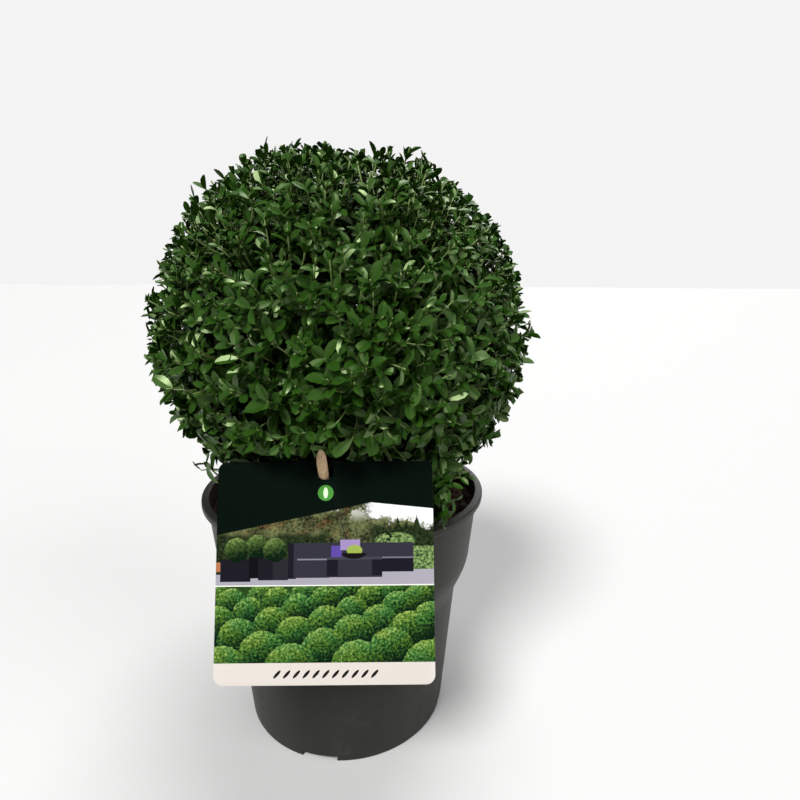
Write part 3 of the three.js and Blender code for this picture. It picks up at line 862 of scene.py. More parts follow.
def lay_trees(sheet, bits, clumps):
    """Autumn trees, one leaning trunk, thin haze and, at the right, pale sky."""
    tall = sheet.noise(sheet.scaled(sheet.grid, (1.6, 0.35, 1)), 0.4, 3, 0.6)
    leafy = sheet.between(bits * 1.1 + clumps * 0.9 + tall * 0.25, 0.85, 1.5)
    autumn = sheet.mix(leafy, (0.01, 0.012, 0.005), (0.19, 0.21, 0.085))
    rust = sheet.between(sheet.noise(sheet.grid, 0.16, 2), 0.5, 0.64) * sheet.between(bits, 0.42, 0.6)
    autumn = sheet.mix(rust * (sheet.across < 72) * 0.4, autumn, (0.2, 0.05, 0.022))
    sheet.lay(sheet.down > 0, autumn)
    trunk = sheet.math("ABSOLUTE", sheet.across - sheet.down * 0.28 - 58.5 + (clumps - 0.5) * 6)
    sheet.lay((trunk < 0.55) * 0.7, (0.035, 0.03, 0.024))
    haze = sheet.between(clumps + bits * 0.6, 0.82, 0.95) * (sheet.across > 62) * (sheet.across < 90)
    sheet.lay(haze * sheet.between(34 - sheet.down, 0, 8) * 0.8, (0.6, 0.6, 0.55))
    sky_edge = sheet.down + (clumps - 0.5) * 14 + (bits - 0.5) * 10 - sheet.across * 0.12
    right = sheet.between(sheet.across + (bits - 0.5) * 16, 79, 86)
    sheet.lay(right * sheet.between(20.5 - sky_edge, -1.2, 1.2), (0.84, 0.86, 0.85))


def lay_hedges(sheet, bits, clumps):
    """A clipped hedge at either side, three pointed conifers over it and two loose bushes."""
    hedge = sheet.mix(sheet.between(bits, 0.35, 0.8), (0.004, 0.007, 0.003), (0.05, 0.08, 0.028))
    ragged_end = sheet.between(sheet.across + (clumps - 0.5) * 20 + (bits - 0.5) * 16, 68, 60)
    sheet.lay(sheet.between(sheet.down + (bits - 0.5) * 8 - (clumps - 0.5) * 8, 38, 41) * ragged_end, hedge)
    hedge_top = sheet.down + (clumps - 0.5) * 9 + (bits - 0.5) * 6
    sheet.lay(sheet.between(hedge_top, 35, 36.5) * sheet.between(sheet.across + bits * 8, 86, 90), hedge)
    for across, top in ((98.5, 30.5), (103.5, 31.8), (109, 29.6)):
        spread = sheet.math("ABSOLUTE", sheet.across - across) * 3.2 + (bits - 0.5) * 5
        sheet.lay((sheet.down - spread > top) * (sheet.down < 38), hedge)
    bush = sheet.mix(sheet.between(bits, 0.38, 0.62), (0.015, 0.045, 0.012), (0.26, 0.38, 0.13))
    ragged = (bits - 0.5) * 1.6
    left_bush = sheet.disc(97, 43, 11, 4.5, ragged) * (bits + clumps > 0.9)
    sheet.lay(left_bush + sheet.box(104, 118, 46, 60) * (bits > 0.38), bush)


def lay_lounge(sheet, bits):
    """Pale paving with a dark woven corner seat, a low table, square pots, cushions and a bowl."""
    sheet.lay(sheet.down + sheet.across * 0.02 > 60.5, (0.36, 0.345, 0.4))
    weave = sheet.noise(sheet.scaled(sheet.grid, (0.5, 3, 1)), 1.2, 2) * 0.5
    dark = sheet.mix(weave, (0.022, 0.022, 0.033), (0.055, 0.053, 0.075))
    for left, right, top, bottom, colour in (
        (0, 3.4, 54, 59, (0.42, 0.16, 0.075)),
        (39, 43.5, 44.2, 63, SHADOW_INK),
        (42, 107, 44, 55, dark),
        (42, 61.5, 53, 62.5, dark),
        (44, 62, 52.4, 53.2, (0.2, 0.2, 0.26)),
        (90, 107, 51.6, 59.5, SHADOW_INK),
        (90, 107, 51.6, 52.4, (0.16, 0.16, 0.21)),
        (60, 90, 52.2, 62.3, (0.03, 0.029, 0.041)),
        (60, 66, 52.2, 61.6, SHADOW_INK),
        (84.5, 90, 52.2, 61.4, SHADOW_INK),
        (60, 90, 51.6, 53, (0.05, 0.049, 0.068)),
        (2.4, 18.8, 52.4, 64.3, SHADOW_INK),
        (18, 25.4, 49.5, 62.5, (0.005, 0.005, 0.007)),
        (22.9, 39, 52.2, 63.6, SHADOW_INK),
        (30.8, 39, 52.2, 63.3, (0.022, 0.02, 0.027)),
        (62.4, 68, 45.6, 51.6, (0.1, 0.06, 0.32)),
        (67.3, 78, 42.4, 48, (0.32, 0.24, 0.46)),
    ):
        sheet.lay(sheet.box(left, right, top, bottom), colour)
    sheet.lay(sheet.disc(75, 48.2, 4.2, 3) * (bits > 0.35), (0.3, 0.4, 0.07))
    sheet.lay(sheet.disc(74.8, 49.4, 6.8, 3.2) * (sheet.down > 49.6), (0.008, 0.006, 0.006))


def lay_potted_balls(sheet, bits):
    """Three clipped balls on the square pots, the middle one further back."""
    for across, down, radius in ((22, 45.8, 6.2), (11, 47.6, 6.5), (31.8, 47.6, 6.4)):
        x = (sheet.across - across) / radius
        y = (sheet.down - down) / radius
        shape = x * x + y * y + (bits - 0.5) * 0.6 < 1
        smooth = bits * 0.5 + 0.25
        sheet.lay(shape, sheet.ball(x, y + 0.05, smooth, (0.19, 0.27, 0.075), (0.045, 0.085, 0.02)))


def lay_garden(sheet):
    """The upper picture, from the back to the front."""
    bits = sheet.noise(sheet.grid, 0.6, 4, 0.7)
    clumps = sheet.noise(sheet.grid, 0.11, 3)
    lay_trees(sheet, bits, clumps)
    lay_hedges(sheet, bits, clumps)
    lay_lounge(sheet, bits)
    lay_potted_balls(sheet, bits)


def lay_field(sheet):
    """Rows of clipped balls, each row nearer, larger and set between the balls behind it."""
    bits = sheet.noise(sheet.grid, 0.7, 5, 0.8)
    patches = sheet.noise(sheet.grid, 0.09, 1)
    sunny = sheet.mix(sheet.between(patches, 0.35, 0.65), (0.3, 0.48, 0.13), (0.42, 0.53, 0.13))
    leafy = sheet.mix(sheet.between(patches, 0.35, 0.65), (0.04, 0.155, 0.03), (0.07, 0.17, 0.02))
    sheet.lay(sheet.down > GARDEN_FOOT, sheet.mix(bits, (0.002, 0.01, 0.003), (0.04, 0.1, 0.02)))
    for row, (top, radius, spacing) in enumerate(BALL_ROWS):
        cell = (sheet.across - CARD_SIZE * 500) / spacing + (row % 2) / 2
        number = sheet.math("FLOOR", cell)
        chance = sheet.node("TexWhiteNoise", {"noise_dimensions": "1D"}, {"W": number + row * 9}) - 0.5
        x = (cell - number - 0.5 + chance * 0.1) * (spacing / radius)
        y = (sheet.down + sheet.across * 0.02 - top - 1.2 + chance * 2.5) / radius - 0.92
        shape = x * x + y * y + (bits - 0.5) * 0.35 < 1
        sheet.lay(shape * (sheet.down > GARDEN_FOOT), sheet.ball(x, y + 0.35, bits, sunny, leafy))


def round_edges(piece, width, degrees):
    """Rounds the active piece's edges that turn by more than that many degrees."""
    rounded = piece.modifiers.new("edge", "BEVEL")
    rounded.width = width
    rounded.segments = 2
    rounded.limit_method = "ANGLE"
    rounded.angle_limit = math.radians(degrees)
    bpy.ops.object.modifier_apply(modifier=rounded.name)


def card_finish():
    """The printed front: pictures, a dark pointed band with a leaf mark, and a pale strip of dashes."""
    sheet = Print("printed_card", (0.003, 0.006, 0.004), 0.5, {"Specular IOR Level": 0.01})
    lay_garden(sheet)
    lay_field(sheet)
    sheet.lay((sheet.down > GARDEN_FOOT) * (sheet.down < GARDEN_FOOT + 0.6), (0.82, 0.86, 0.76))
    left_slope = 39.5 - sheet.across * 0.2024
    right_slope = GARDEN_TOP + (sheet.across - 84) * 0.103
    sheet.lay(sheet.down < sheet.math("MAXIMUM", left_slope, right_slope), (0.002, 0.0055, 0.0035))
    sheet.lay(sheet.disc(59.2, 17.2, 4.3, 4.3), (0.07, 0.28, 0.045))
    sheet.lay(sheet.disc(59.2, 17.2, 1.3, 3), (0.7, 0.85, 0.6))
    sheet.lay(sheet.down > FIELD_FOOT, (0.69, 0.635, 0.58))
    cell = sheet.across / DASH_SPACING
    y = sheet.down - DASH_HEIGHT
    x = (cell - sheet.math("FLOOR", cell) - 0.5) * DASH_SPACING + y * 0.8
    dashes = (x * x / 1.1 + y * y / 4.4 < 1) * (sheet.across > 31.2) * (sheet.across < 88.4)
    sheet.lay(dashes, (0.012, 0.012, 0.011))
    sheet.paint(sheet.mix(sheet.front, BACK_COLOUR, sheet.scaled(sheet.colour, INK)))
    smudges = sheet.noise(sheet.grid, 0.06, 3)
    sheet.feed(sheet.shader, {"Roughness": 0.45 + smudges * 0.15})
    return sheet.material


deselect_all()
bpy.ops.mesh.primitive_cube_add(size=1)
card = bpy.context.object
card.name = "picture_card_print"
card.scale = (CARD_SIZE, CARD_THICKNESS, CARD_SIZE)
apply_place()
bpy.ops.object.mode_set(mode="EDIT")
bpy.ops.mesh.select_mode(type="EDGE")
bpy.ops.mesh.select_all(action="DESELECT")
bpy.ops.object.mode_set(mode="OBJECT")
for edge in card.data.edges:
    near, far = (card.data.vertices[number].co for number in edge.vertices)
    edge.select = abs(near.y - far.y) > CARD_THICKNESS / 2
bpy.ops.object.mode_set(mode="EDIT")
bpy.ops.mesh.bevel(offset=CARD_CORNER, segments=12, affect="EDGES")
bpy.ops.object.mode_set(mode="OBJECT")
deselect_all()
punch = {"location": (0, 0, CARD_SIZE / 2 - HOLE_DROP), "rotation": (math.pi / 2, 0, 0)}
bpy.ops.mesh.primitive_cylinder_add(vertices=64, radius=HOLE_RADIUS, depth=0.01, **punch)
apply_place()
cut_away(card, [bpy.context.object])
round_edges(card, CARD_EDGE_ROUND, 50)
card.matrix_world = card_place
apply_place()
smooth_by_angle(card, 30)
finished(card, ["picture_card"], [card_finish()])

# --- Peg ---
# A round stick of raw hardwood pushed into the peat. It leans out through the card's hole and ends
# in one long slanting cut that faces the front.
PEG_RADIUS = 0.00285
PEG_LEAN = math.radians(33)
PEG_CUT_LENGTH = 0.0155
PEG_SHIFT = -0.0012
PEG_LENGTH = 0.09
PEG_EDGE_ROUND = 0.0003


def peg_finish():
    """Pale raw wood with its grain along the stick."""
    finish = Finish("peg_wood", (0.42, 0.29, 0.16), 0.75, {"Specular IOR Level": 0.3})
    sockets = {"Vector": finish.place(), "Rotation": (PEG_LEAN, 0, 0)}
    turned = finish.node("Mapping", {"vector_type": "TEXTURE"}, sockets)
    grain = finish.noise(finish.scaled(turned, (1, 1, 0.1)), 1500, 4, 0.6)
    finish.paint(finish.mix(finish.between(grain, 0.3, 0.7), (0.33, 0.225, 0.125), (0.46, 0.335, 0.2)))
    finish.bump(grain, 0.0002)
    return finish.material


hole = card_place @ Vector((0, -CARD_THICKNESS / 2, CARD_SIZE / 2))
hole = hole + card_lean.to_3x3() @ Vector((PEG_SHIFT, 0, -HOLE_DROP))
deselect_all()
middle = (0, 0, PEG_CUT_LENGTH - PEG_LENGTH / 2)
bpy.ops.mesh.primitive_cylinder_add(vertices=36, radius=PEG_RADIUS, depth=PEG_LENGTH, location=middle)
peg = bpy.context.object
peg.name = "hanging_peg"
apply_place()
slope = math.atan2(PEG_RADIUS * 2, PEG_CUT_LENGTH)
bpy.ops.object.mode_set(mode="EDIT")
bpy.ops.mesh.select_all(action="SELECT")
cut_middle = (0, 0, PEG_CUT_LENGTH / 2)
cut_normal = (0, -math.cos(slope), math.sin(slope))
bpy.ops.mesh.bisect(plane_co=cut_middle, plane_no=cut_normal, use_fill=True, clear_outer=True)
bpy.ops.object.mode_set(mode="OBJECT")
peg.matrix_world = Matrix.Translation(hole) @ Matrix.Rotation(PEG_LEAN, 4, "X")
apply_place()
bpy.ops.object.mode_set(mode="EDIT")
bpy.ops.mesh.select_all(action="SELECT")
foot = (0, 0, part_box("card_peg")[0].z)
bpy.ops.mesh.bisect(plane_co=foot, plane_no=(0, 0, -1), use_fill=True, clear_outer=True)
bpy.ops.object.mode_set(mode="OBJECT")
round_edges(peg, PEG_EDGE_ROUND, 30)
smooth_by_angle(peg, 40)
finished(peg, ["card_peg"], [peg_finish()])

# --- Leaves ---
# Box leaves: small, leathery and glossy, in opposite pairs that turn by a quarter from one pair to
# the next. The underside is paler, and the shears leave pale straight edges on the ball's skin.
LEAF_STATIONS = np.array([0.14, 0.42, 0.72, 0.93])
# The half width at shares of the length, both in leaf lengths.
LEAF_WIDTHS = (
    [0, 0.14, 0.3, 0.42, 0.55, 0.72, 0.86, 0.93, 1],
    [0, 0.12, 0.2, 0.235, 0.25, 0.235, 0.18, 0.12, 0],
)
LEAF_POINTS = 15
UNDER_POINT = 14
CUT_BAND = 0.05
LEAF_THICKNESS = 0.0003
# How large each pair is, from the tip down, and how much wider it opens than the pair above, in degrees.
PAIR_SIZES = [0.5, 0.75, 0.92, 1, 1, 1, 1, 1]
PAIR_OPENING = 15
PAIR_GAP = (0.0042, 0.0078)
PLAIN_LEAF = 0.0098
# The sides of the ball with yellowish and with fresher shoots, seen from its heart, and their spread
# in radians.
YELLOW_SIDE = (0.9, -0.42, -0.05)
YELLOW_SPREAD = 0.085
FRESH_SIDE = (0.4, -0.85, -0.3)
FRESH_SPREAD = 0.42
FALLEN_COUNT = 90
SECTORS = 6
OLD_AND_SHADED, DEEP, GREEN, MID, FRESH, YOUNG, TAN = range(7)
TONE_SHARES = [0.04, 0.2, 0.3, 0.26, 0.13, 0.05, 0.02]
# The darkest tone is both the colour of old leaves and the painted shade deep inside the foliage.
TOP_COLOURS = [
    ("leaf_old_and_shaded", (0.014, 0.045, 0.004)),
    ("leaf_deep", (0.044, 0.12, 0.008)),
    ("leaf_green", (0.1, 0.24, 0.018)),
    ("leaf_mid", (0.165, 0.34, 0.03)),
    ("leaf_fresh", (0.26, 0.45, 0.055)),
    ("leaf_young", (0.42, 0.54, 0.09)),
    ("leaf_tan", (0.42, 0.3, 0.13)),
]
LEAF_GLOSS = {"Specular IOR Level": 0.38, "Specular Tint": (0.8, 1.0, 0.5, 1.0)}
UNDERSIDE = len(TOP_COLOURS)
CUT_EDGE = UNDERSIDE + 2
# How far leaves stay from the hard parts: the card's edge and front, and the peg's side and end.
LIP_CLEARANCE = 0.0012
PEAT_CLEARANCE = 0.0005
CARD_CLEARANCE = (0.0005, 0.0015)
PEG_CLEARANCE = (0.001, 0.002)
BEFORE_PEG = (0.004, 0.018)
WALL_STARTS = 0.0915
PEAT_ENDS = 0.0925


def leaf_finishes():
    """Glossy upper sides in seven tones, duller undersides and the pale edge that the shears leave."""
    tops = [Finish(name, colour, 0.32, LEAF_GLOSS) for name, colour in TOP_COLOURS]
    undersides = [
        Finish("leaf_underside", (0.12, 0.22, 0.05), 0.65, {"Specular IOR Level": 0.2}),
        Finish("leaf_underside_fresh", (0.19, 0.31, 0.08), 0.65, {"Specular IOR Level": 0.2}),
    ]
    edge = Finish("leaf_cut_edge", (0.42, 0.42, 0.2), 0.7)
    return [finish.material for finish in tops + undersides + [edge]]


def leaf_faces():
    """A leaf's triangles. Points: base, tip, left, middle and right at each station, and one below."""
    base, tip, last = 0, 1, len(LEAF_STATIONS) - 1
    left, middle, right = (np.arange(2 + side, UNDER_POINT, 3) for side in range(3))
    top = [(base, middle[0], left[0]), (base, right[0], middle[0])]
    for near in range(last):
        for one, other in ((left, middle), (middle, right)):
            top += [(one[near], other[near], other[near + 1]), (one[near], other[near + 1], one[near + 1])]
    top += [(left[last], middle[last], tip), (middle[last], right[last], tip)]
    outline = [base, *right, tip, *reversed(left)]
    bottom = [(UNDER_POINT, far, near) for near, far in zip(outline, outline[1:] + outline[:1])]
    return np.array(top), np.array(bottom)


def place_along(paths, distance):
    """The place at a distance back from each path's tip, the direction there and if it is on the path."""
    steps = np.diff(paths, axis=1)
    lengths = np.linalg.norm(steps, axis=2)
    travelled = np.concatenate([np.zeros((len(paths), 1)), np.cumsum(lengths, axis=1)], axis=1)
    along = travelled[:, -1] - distance
    segment = np.clip((travelled < along[:, None]).sum(axis=1) - 1, 0, lengths.shape[1] - 1)
    row = np.arange(len(paths))
    share = (along - travelled[row, segment]) / lengths[row, segment]
    return paths[row, segment] + steps[row, segment] * share[:, None], unit(steps[row, segment]), along > 0


def spray_leaves(paths, length, spread, cut_share, tones, leafy):
    """Leaves in pairs down each shoot: their places, directions, normals, sizes, tones and shoots."""
    count = len(paths)
    start_turn = dice.uniform(0, math.pi, count)
    cut_tip = dice.random(count) < cut_share
    distance = np.full(count, 0.0004)
    rows = []
    for pair, pair_size in enumerate(PAIR_SIZES):
        place, along, there = place_along(paths, distance)
        spare = np.where(np.abs(along[:, 2:]) < 0.8, [[0, 0, 1.0]], [[1.0, 0, 0]])
        side = unit(np.cross(along, spare))
        other = np.cross(along, side)
        turn = start_turn + pair * math.pi / 2 + dice.normal(0, 0.18, count)
        axis = side * np.cos(turn)[:, None] + other * np.sin(turn)[:, None]
        young = np.where(cut_tip, 0.9, pair_size)
        opening = np.where(cut_tip, max(pair, 1), pair)
        for sign in (1, -1):
            angle = spread + opening * PAIR_OPENING + dice.normal(0, 11, count)
            angle = np.radians(np.clip(angle, 8, 88))[:, None]
            out = along * np.cos(angle) + sign * axis * np.sin(angle)
            face = along * np.sin(angle) - sign * axis * np.cos(angle)
            size = length * young * dice.uniform(0.8, 1.18, count)
            keep = there & (distance < leafy) & (dice.random(count) < 0.94)
            rows.append([v[keep] for v in (place, out, face, size, tones, np.arange(count))])
        closer = 0.6 if pair == 0 else 1
        distance = distance + dice.uniform(*PAIR_GAP, count) * closer * length / PLAIN_LEAF
    return [np.concatenate(column) for column in zip(*rows)]


def leaf_shapes(place, out, face, size, width, bend, fold, cut, slant):
    """Every leaf's points. A cut leaf ends at its cut share of the length, straight or slanted."""
    across = np.cross(face, out)
    is_cut = cut < 1
    ends = np.where(is_cut, cut / LEAF_STATIONS[-1], 1)
    stations = LEAF_STATIONS[None] * ends[:, None]
    half = np.interp(stations, *LEAF_WIDTHS) * width[:, None]
    x, y = np.zeros((2, len(size), LEAF_POINTS))
    x[:, 0] = -0.04
    x[:, 1] = np.where(is_cut, cut + 0.005, 1)
    x[:, 2:UNDER_POINT] = np.repeat(stations, 3, axis=1)
    x[:, UNDER_POINT] = stations.mean(axis=1)
    y[:, 2:UNDER_POINT:3] = half
    y[:, 4:UNDER_POINT:3] = -half
    x[:, UNDER_POINT - 3] += is_cut * slant
    x[:, UNDER_POINT - 2] -= is_cut * CUT_BAND
    x[:, UNDER_POINT - 1] -= is_cut * slant
    z = -bend[:, None] * x**2 + fold[:, None] * np.abs(y)
    z[:, UNDER_POINT] -= LEAF_THICKNESS / size
    x, y, z = (values[..., None] * size[:, None, None] for values in (x, y, z))
    return place[:, None] + x * out[:, None] + y * across[:, None] + z * face[:, None]


TOP_FACES, BOTTOM_FACES = leaf_faces()
LEAF_FACES = np.concatenate([TOP_FACES, BOTTOM_FACES])
OUTLINE = np.array([True, True] + [True, False, True] * 4 + [False])
MIDRIB = np.array([True, True] + [False, True, False] * 4 + [False])


def leaf_piece(name, points, tones, cut, node_names, materials):
    """Joins leaves into one piece, with a crisp outline and midrib on each."""
    count = len(points)
    numbers = np.empty((count, len(LEAF_FACES)), int)
    numbers[:, : len(TOP_FACES)] = tones[:, None]
    numbers[:, len(TOP_FACES) :] = UNDERSIDE + (tones >= FRESH)[:, None]
    numbers[cut < 1, len(TOP_FACES) - 2 : len(TOP_FACES)] = CUT_EDGE
    faces = LEAF_FACES[None] + (np.arange(count) * LEAF_POINTS)[:, None, None]
    piece = joined_mesh(name, points.reshape(-1, 3), faces.reshape(-1, 3), numbers.ravel())
    ends = np.empty(len(piece.data.edges) * 2, int)
    piece.data.edges.foreach_get("vertices", ends)
    ends = ends.reshape(-1, 2) % LEAF_POINTS
    crisp = OUTLINE[ends].all(axis=1) | MIDRIB[ends].all(axis=1)
    piece.data.attributes.new("sharp_edge", "BOOLEAN", "EDGE").data.foreach_set("value", crisp)
    return finished(piece, node_names, materials)


def turned_to_light(place, out, face, amount):
    """Turns the leaves' upper sides up and outwards, each about its own length."""
    light = unit(place - HEART) * 0.75 + np.array([0, 0, 0.7])
    face = face + light * amount + dice.normal(0, 0.4, face.shape)
    return unit(face - out * (face * out).sum(axis=1)[:, None])


def depth_below(surface, origin, points):
    """How deep points lie below a mass's skin, measured from a place inside it."""
    from_origin = points - origin
    return reach(surface, origin, unit(from_origin)) - np.linalg.norm(from_origin, axis=1)


def dealt_tones(count):
    """A tone for each spray or leaf, dealt out by chance in the tones' shares."""
    return dice.choice(len(TOP_COLOURS), count, p=TONE_SHARES)


def aged_and_shaded(tones, depth):
    """Each leaf's tone: some differ from their spray's, and leaves deep inside take darker tones, partly as
    older leaves and partly as painted shade.
    """
    tones = np.where(dice.random(len(tones)) < 0.25, dealt_tones(len(tones)), tones)
    # Painted shade, partly age: leaves below the skin drop a tone, and the deepest mostly take the darkest
    # one.
    tones = np.where((depth > 0.009) & (tones < TAN), np.maximum(tones - 1, OLD_AND_SHADED), tones)
    shaded_oldest = np.minimum(tones, DEEP) * (dice.random(len(tones)) < 0.4)
    return np.where((depth > 0.014) & (tones < TAN), shaded_oldest, tones)


def off_hard_parts(points):
    """Which leaves stay clear of the peat, the pot's wall and lip, the card, the peg and open places."""
    radius = np.hypot(points[..., 0], points[..., 1])
    in_peat = (points[..., 2] < peat_height(radius) + PEAT_CLEARANCE) & (radius < PEAT_ENDS)
    in_wall = (points[..., 2] < POT_HEIGHT + LIP_CLEARANCE) & (radius > WALL_STARTS)
    turned = (points - np.array(card_place.translation)) @ np.array(card_place.to_3x3())
    over_card = (np.abs(turned[..., [0, 2]]) < CARD_SIZE / 2 + CARD_CLEARANCE[0]).all(axis=-1)
    by_card = over_card & (turned[..., 1] < CARD_CLEARANCE[1])
    stick = np.array([0, -math.sin(PEG_LEAN), math.cos(PEG_LEAN)])
    from_hole = points - np.array(hole)
    along = from_hole @ stick
    off_stick = np.linalg.norm(from_hole - along[..., None] * stick, axis=-1)
    by_peg = (off_stick < PEG_RADIUS + PEG_CLEARANCE[0]) & (along < PEG_CUT_LENGTH + PEG_CLEARANCE[1])
    over_peg = (np.abs(from_hole[..., [0, 2]]) < BEFORE_PEG).all(axis=-1)
    before_peg = over_peg & (from_hole[..., 1] < 0)
    return ~(in_peat | in_wall | by_card | by_peg | before_peg | open_peat(points)).any(axis=1)


leaf_materials = leaf_finishes()
height_share = np.clip((shoots[:, -1, 2] - 0.2) / 0.19, 0, 1)
tones = dealt_tones(len(shoots))
freshened = unit(shoots[:, -1] - HEART) @ unit(np.array(FRESH_SIDE)) > math.cos(FRESH_SPREAD)
freshened &= (dice.random(len(shoots)) < 0.55) & (tones > DEEP) & (tones < YOUNG)
tones[freshened] += 1
yellowed = unit(shoots[:, -1] - HEART) @ unit(np.array(YELLOW_SIDE)) > math.cos(YELLOW_SPREAD)
tones[yellowed] = YOUNG
length = CROWN_LEAF * np.maximum(1.72 - 1.25 * height_share, 0.98)
spread = 42 - 16 * height_share
cut_share = 0.2 + 0.6 * height_share
leaves = spray_leaves(shoots, length, spread, cut_share, tones, 0.048)
place, out, face, size, tone, shoot = leaves
face = turned_to_light(place, out, face, 0.55)
# Painted shade: leaves lying deeper below the ball's skin take darker tones, partly as older leaves, and
# less so near the top of the ball.
shade = depth_below(crown_skin, HEART, place) + 0.005 - 0.008 * height_share[shoot]
tone = np.where(yellowed[shoot], tone, aged_and_shaded(tone, shade))
tip = place + out * size[:, None]
depth = depth_below(crown_skin, HEART, tip) + trimmed(unit(tip - HEART))
uncut = sprigs[shoot] | (dice.random(len(size)) < 0.3) | (depth > -0.0005)
cut = np.where(uncut, 1.0, np.clip(1 + (depth + dice.normal(0, 0.001, len(size))) / size, 0.3, 0.88))
shape = [
    dice.uniform(0.8, 1.1, len(size)),
    dice.normal(0.14, 0.11, len(size)),
    dice.normal(0.42, 0.18, len(size)),
    cut,
    dice.normal(0, 0.05, len(size)),
]
points = leaf_shapes(place, out, face, size, *shape)
clear = off_hard_parts(points)
turn = (np.arctan2(place[:, 1], place[:, 0]) + math.pi) / (2 * math.pi)
sector = (turn * SECTORS).astype(int) % SECTORS
for number in range(SECTORS):
    mine = clear & (sector == number)
    leaf_piece(f"crown_leaves_{number}", points[mine], tone[mine], cut[mine], ["crown"], leaf_materials)

all_shoots = [shoots]
for skirt in SKIRTS:
    middle, paths = skirt_growth[skirt][1:]
    tones = dealt_tones(len(paths))
    leaves = spray_leaves(paths, np.full(len(paths), SKIRT_LEAF), 36, 0.1, tones, 0.06)
    place, out, face, size, tone, shoot = leaves
    face = turned_to_light(place, out, face, 0.6)
    # Painted shade: leaves deeper inside the skirt take darker tones, partly as older leaves.
    tone = aged_and_shaded(tone, depth_below(skin(f"skirt_{skirt}"), middle, place))
    count = len(size)
    shape = [dice.uniform(0.72, 1.0, count), dice.normal(0.16, 0.1, count), dice.normal(0.38, 0.14, count)]
    points = leaf_shapes(place, out, face, size, *shape, np.ones(count), np.zeros(count))
    clear = off_hard_parts(points)
    mass = f"skirt_{skirt}"
    name = f"skirt_leaves_{skirt}"
    leaf_piece(name, points[clear], tone[clear], np.ones(clear.sum()), [mass], leaf_materials)
    all_shoots.append(paths)

angle = dice.uniform(0, 2 * math.pi, FALLEN_COUNT)
radius = collar_radius(PEAT_EDGE) * dice.uniform(0.45, 0.84, FALLEN_COUNT)
place = np.array([radius * np.cos(angle), radius * np.sin(angle), peat_height(radius) + 0.0012]).T
lie = unit(dice.normal(size=(FALLEN_COUNT, 3)) * (1, 1, 0.15))
face = dice.normal(0, 0.3, (FALLEN_COUNT, 3)) + (0, 0, 1)
face = unit(face - lie * (face * lie).sum(axis=1)[:, None])
# The least and the most of their sizes, widths, bends and folds.
ranges = ((0.008, 0.014), (0.7, 1), (-0.1, 0.3), (0.1, 0.5))
shape = [dice.uniform(low, high, FALLEN_COUNT) for low, high in ranges]
points = leaf_shapes(place, lie, face, *shape, np.ones(FALLEN_COUNT), np.zeros(FALLEN_COUNT))
tones = dice.choice([TAN, DEEP, OLD_AND_SHADED], FALLEN_COUNT, p=[0.7, 0.15, 0.15])
leaf_piece("fallen_leaves", points, tones, np.ones(FALLEN_COUNT), [], leaf_materials)

every_shoot = np.concatenate(all_shoots)
shoot_radii = tapered(every_shoot, 0.0007, 0.0004)
shoot_kinds = dice.choice(3, len(every_shoot), p=[0.5, 0.4, 0.1])
stubby = (dice.random(len(shoots)) < 0.45) & (height_share > 0.2)
stub_foot = shoots[stubby, -1]
stub_run = unit(stub_foot - shoots[stubby, -2]) * dice.uniform(0.0015, 0.0045, (stubby.sum(), 1))
stubs = np.stack([stub_foot - stub_run * 0.2, stub_foot + stub_run * 0.5, stub_foot + stub_run], axis=1)
stub_group = (stubs, tapered(stubs, 0.0005, 0.00045), 4, np.full(len(stubs), CUT_WOOD))
wood_piece("shoots", [(every_shoot, shoot_radii, 4, shoot_kinds), stub_group], twig_finishes)

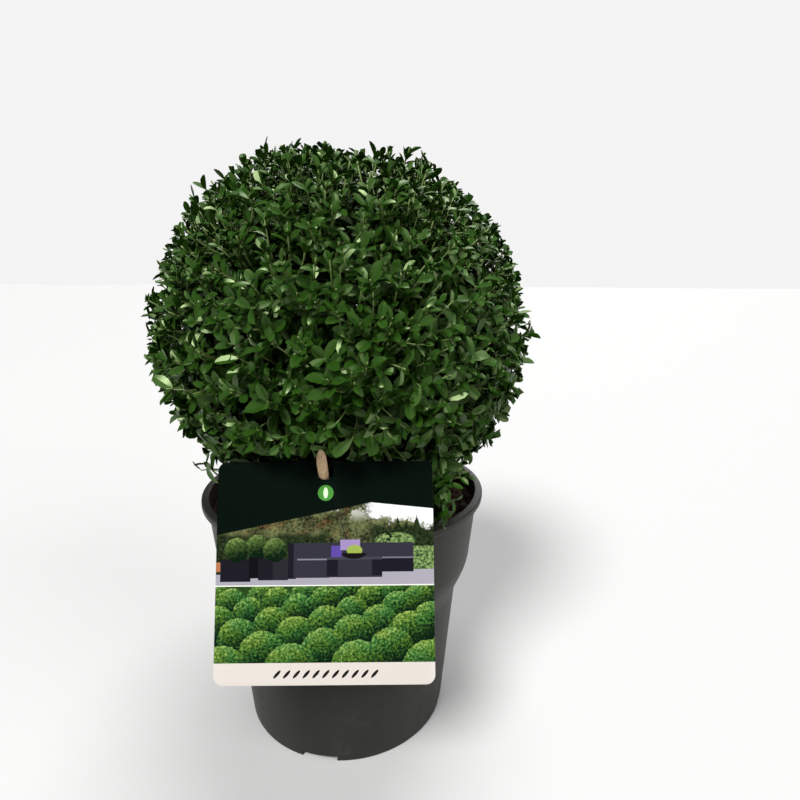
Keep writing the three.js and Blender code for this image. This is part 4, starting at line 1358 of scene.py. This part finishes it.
# --- Stage ---
# A plain pale floor under four broad lamps: a key from the upper front left, a fill from the right,
# one overhead and one behind. The backdrop looks bright but gives little light, and the camera
# stands close in front with a wide lens, looking a little down.
FLOOR_SIZE = 60.0
BACKDROP_SEEN = 0.9
BACKDROP_GLOW = 0.08
CAMERA_PLACE = (0.0393, -0.3635, 0.31)
CAMERA_PITCH = math.radians(90 - 12.62)
CAMERA_ROLL = math.radians(0.34)
CAMERA_LENS = 23.98


def soft_light(name, towards, strength, softness):
    """A broad lamp far away, seen from the plant in one direction and as wide as its softness."""
    data = bpy.data.lights.new(name, "SUN")
    data.energy = strength
    data.angle = math.radians(softness)
    light = bpy.data.objects.new(name, data)
    light.rotation_euler = Vector(towards).to_track_quat("Z", "Y").to_euler()
    bpy.context.scene.collection.objects.link(light)


deselect_all()
bpy.ops.mesh.primitive_plane_add(size=FLOOR_SIZE)
floor = bpy.context.object
floor.name = "floor"
floor_finish = Finish("pale_floor", (0.4, 0.4, 0.397), 0.8, {"Specular IOR Level": 0.1})
floor.data.materials.append(floor_finish.material)

soft_light("key", (-0.3, -0.6, 0.74), 5.1, 20)
soft_light("fill", (0.75, -0.5, 0.5), 1.7, 40)
soft_light("top", (0.1, 0.1, 1.0), 2.0, 24)
soft_light("back", (0.2, 0.8, 0.5), 1.5, 50)
world = bpy.data.worlds.new("studio")
world.use_nodes = True
backdrop = world.node_tree.nodes["Background"]
backdrop.inputs["Color"].default_value = (1, 1, 1, 1)
# The camera sees the backdrop brighter than it lights the plant.
seen = world.node_tree.nodes.new("ShaderNodeLightPath")
level = world.node_tree.nodes.new("ShaderNodeMath")
level.operation = "MULTIPLY_ADD"
level.inputs[1].default_value = BACKDROP_SEEN - BACKDROP_GLOW
level.inputs[2].default_value = BACKDROP_GLOW
world.node_tree.links.new(seen.outputs["Is Camera Ray"], level.inputs[0])
world.node_tree.links.new(level.outputs[0], backdrop.inputs["Strength"])
bpy.context.scene.world = world

camera_data = bpy.data.cameras.new("camera")
camera_data.lens = CAMERA_LENS
camera_data.clip_start = 0.01
camera = bpy.data.objects.new("camera", camera_data)
camera.location = CAMERA_PLACE
camera_turn = Matrix.Rotation(CAMERA_PITCH, 3, "X") @ Matrix.Rotation(CAMERA_ROLL, 3, "Z")
camera.rotation_euler = camera_turn.to_euler()
bpy.context.scene.collection.objects.link(camera)
bpy.context.scene.camera = camera
bpy.context.scene.view_settings.view_transform = "Standard"
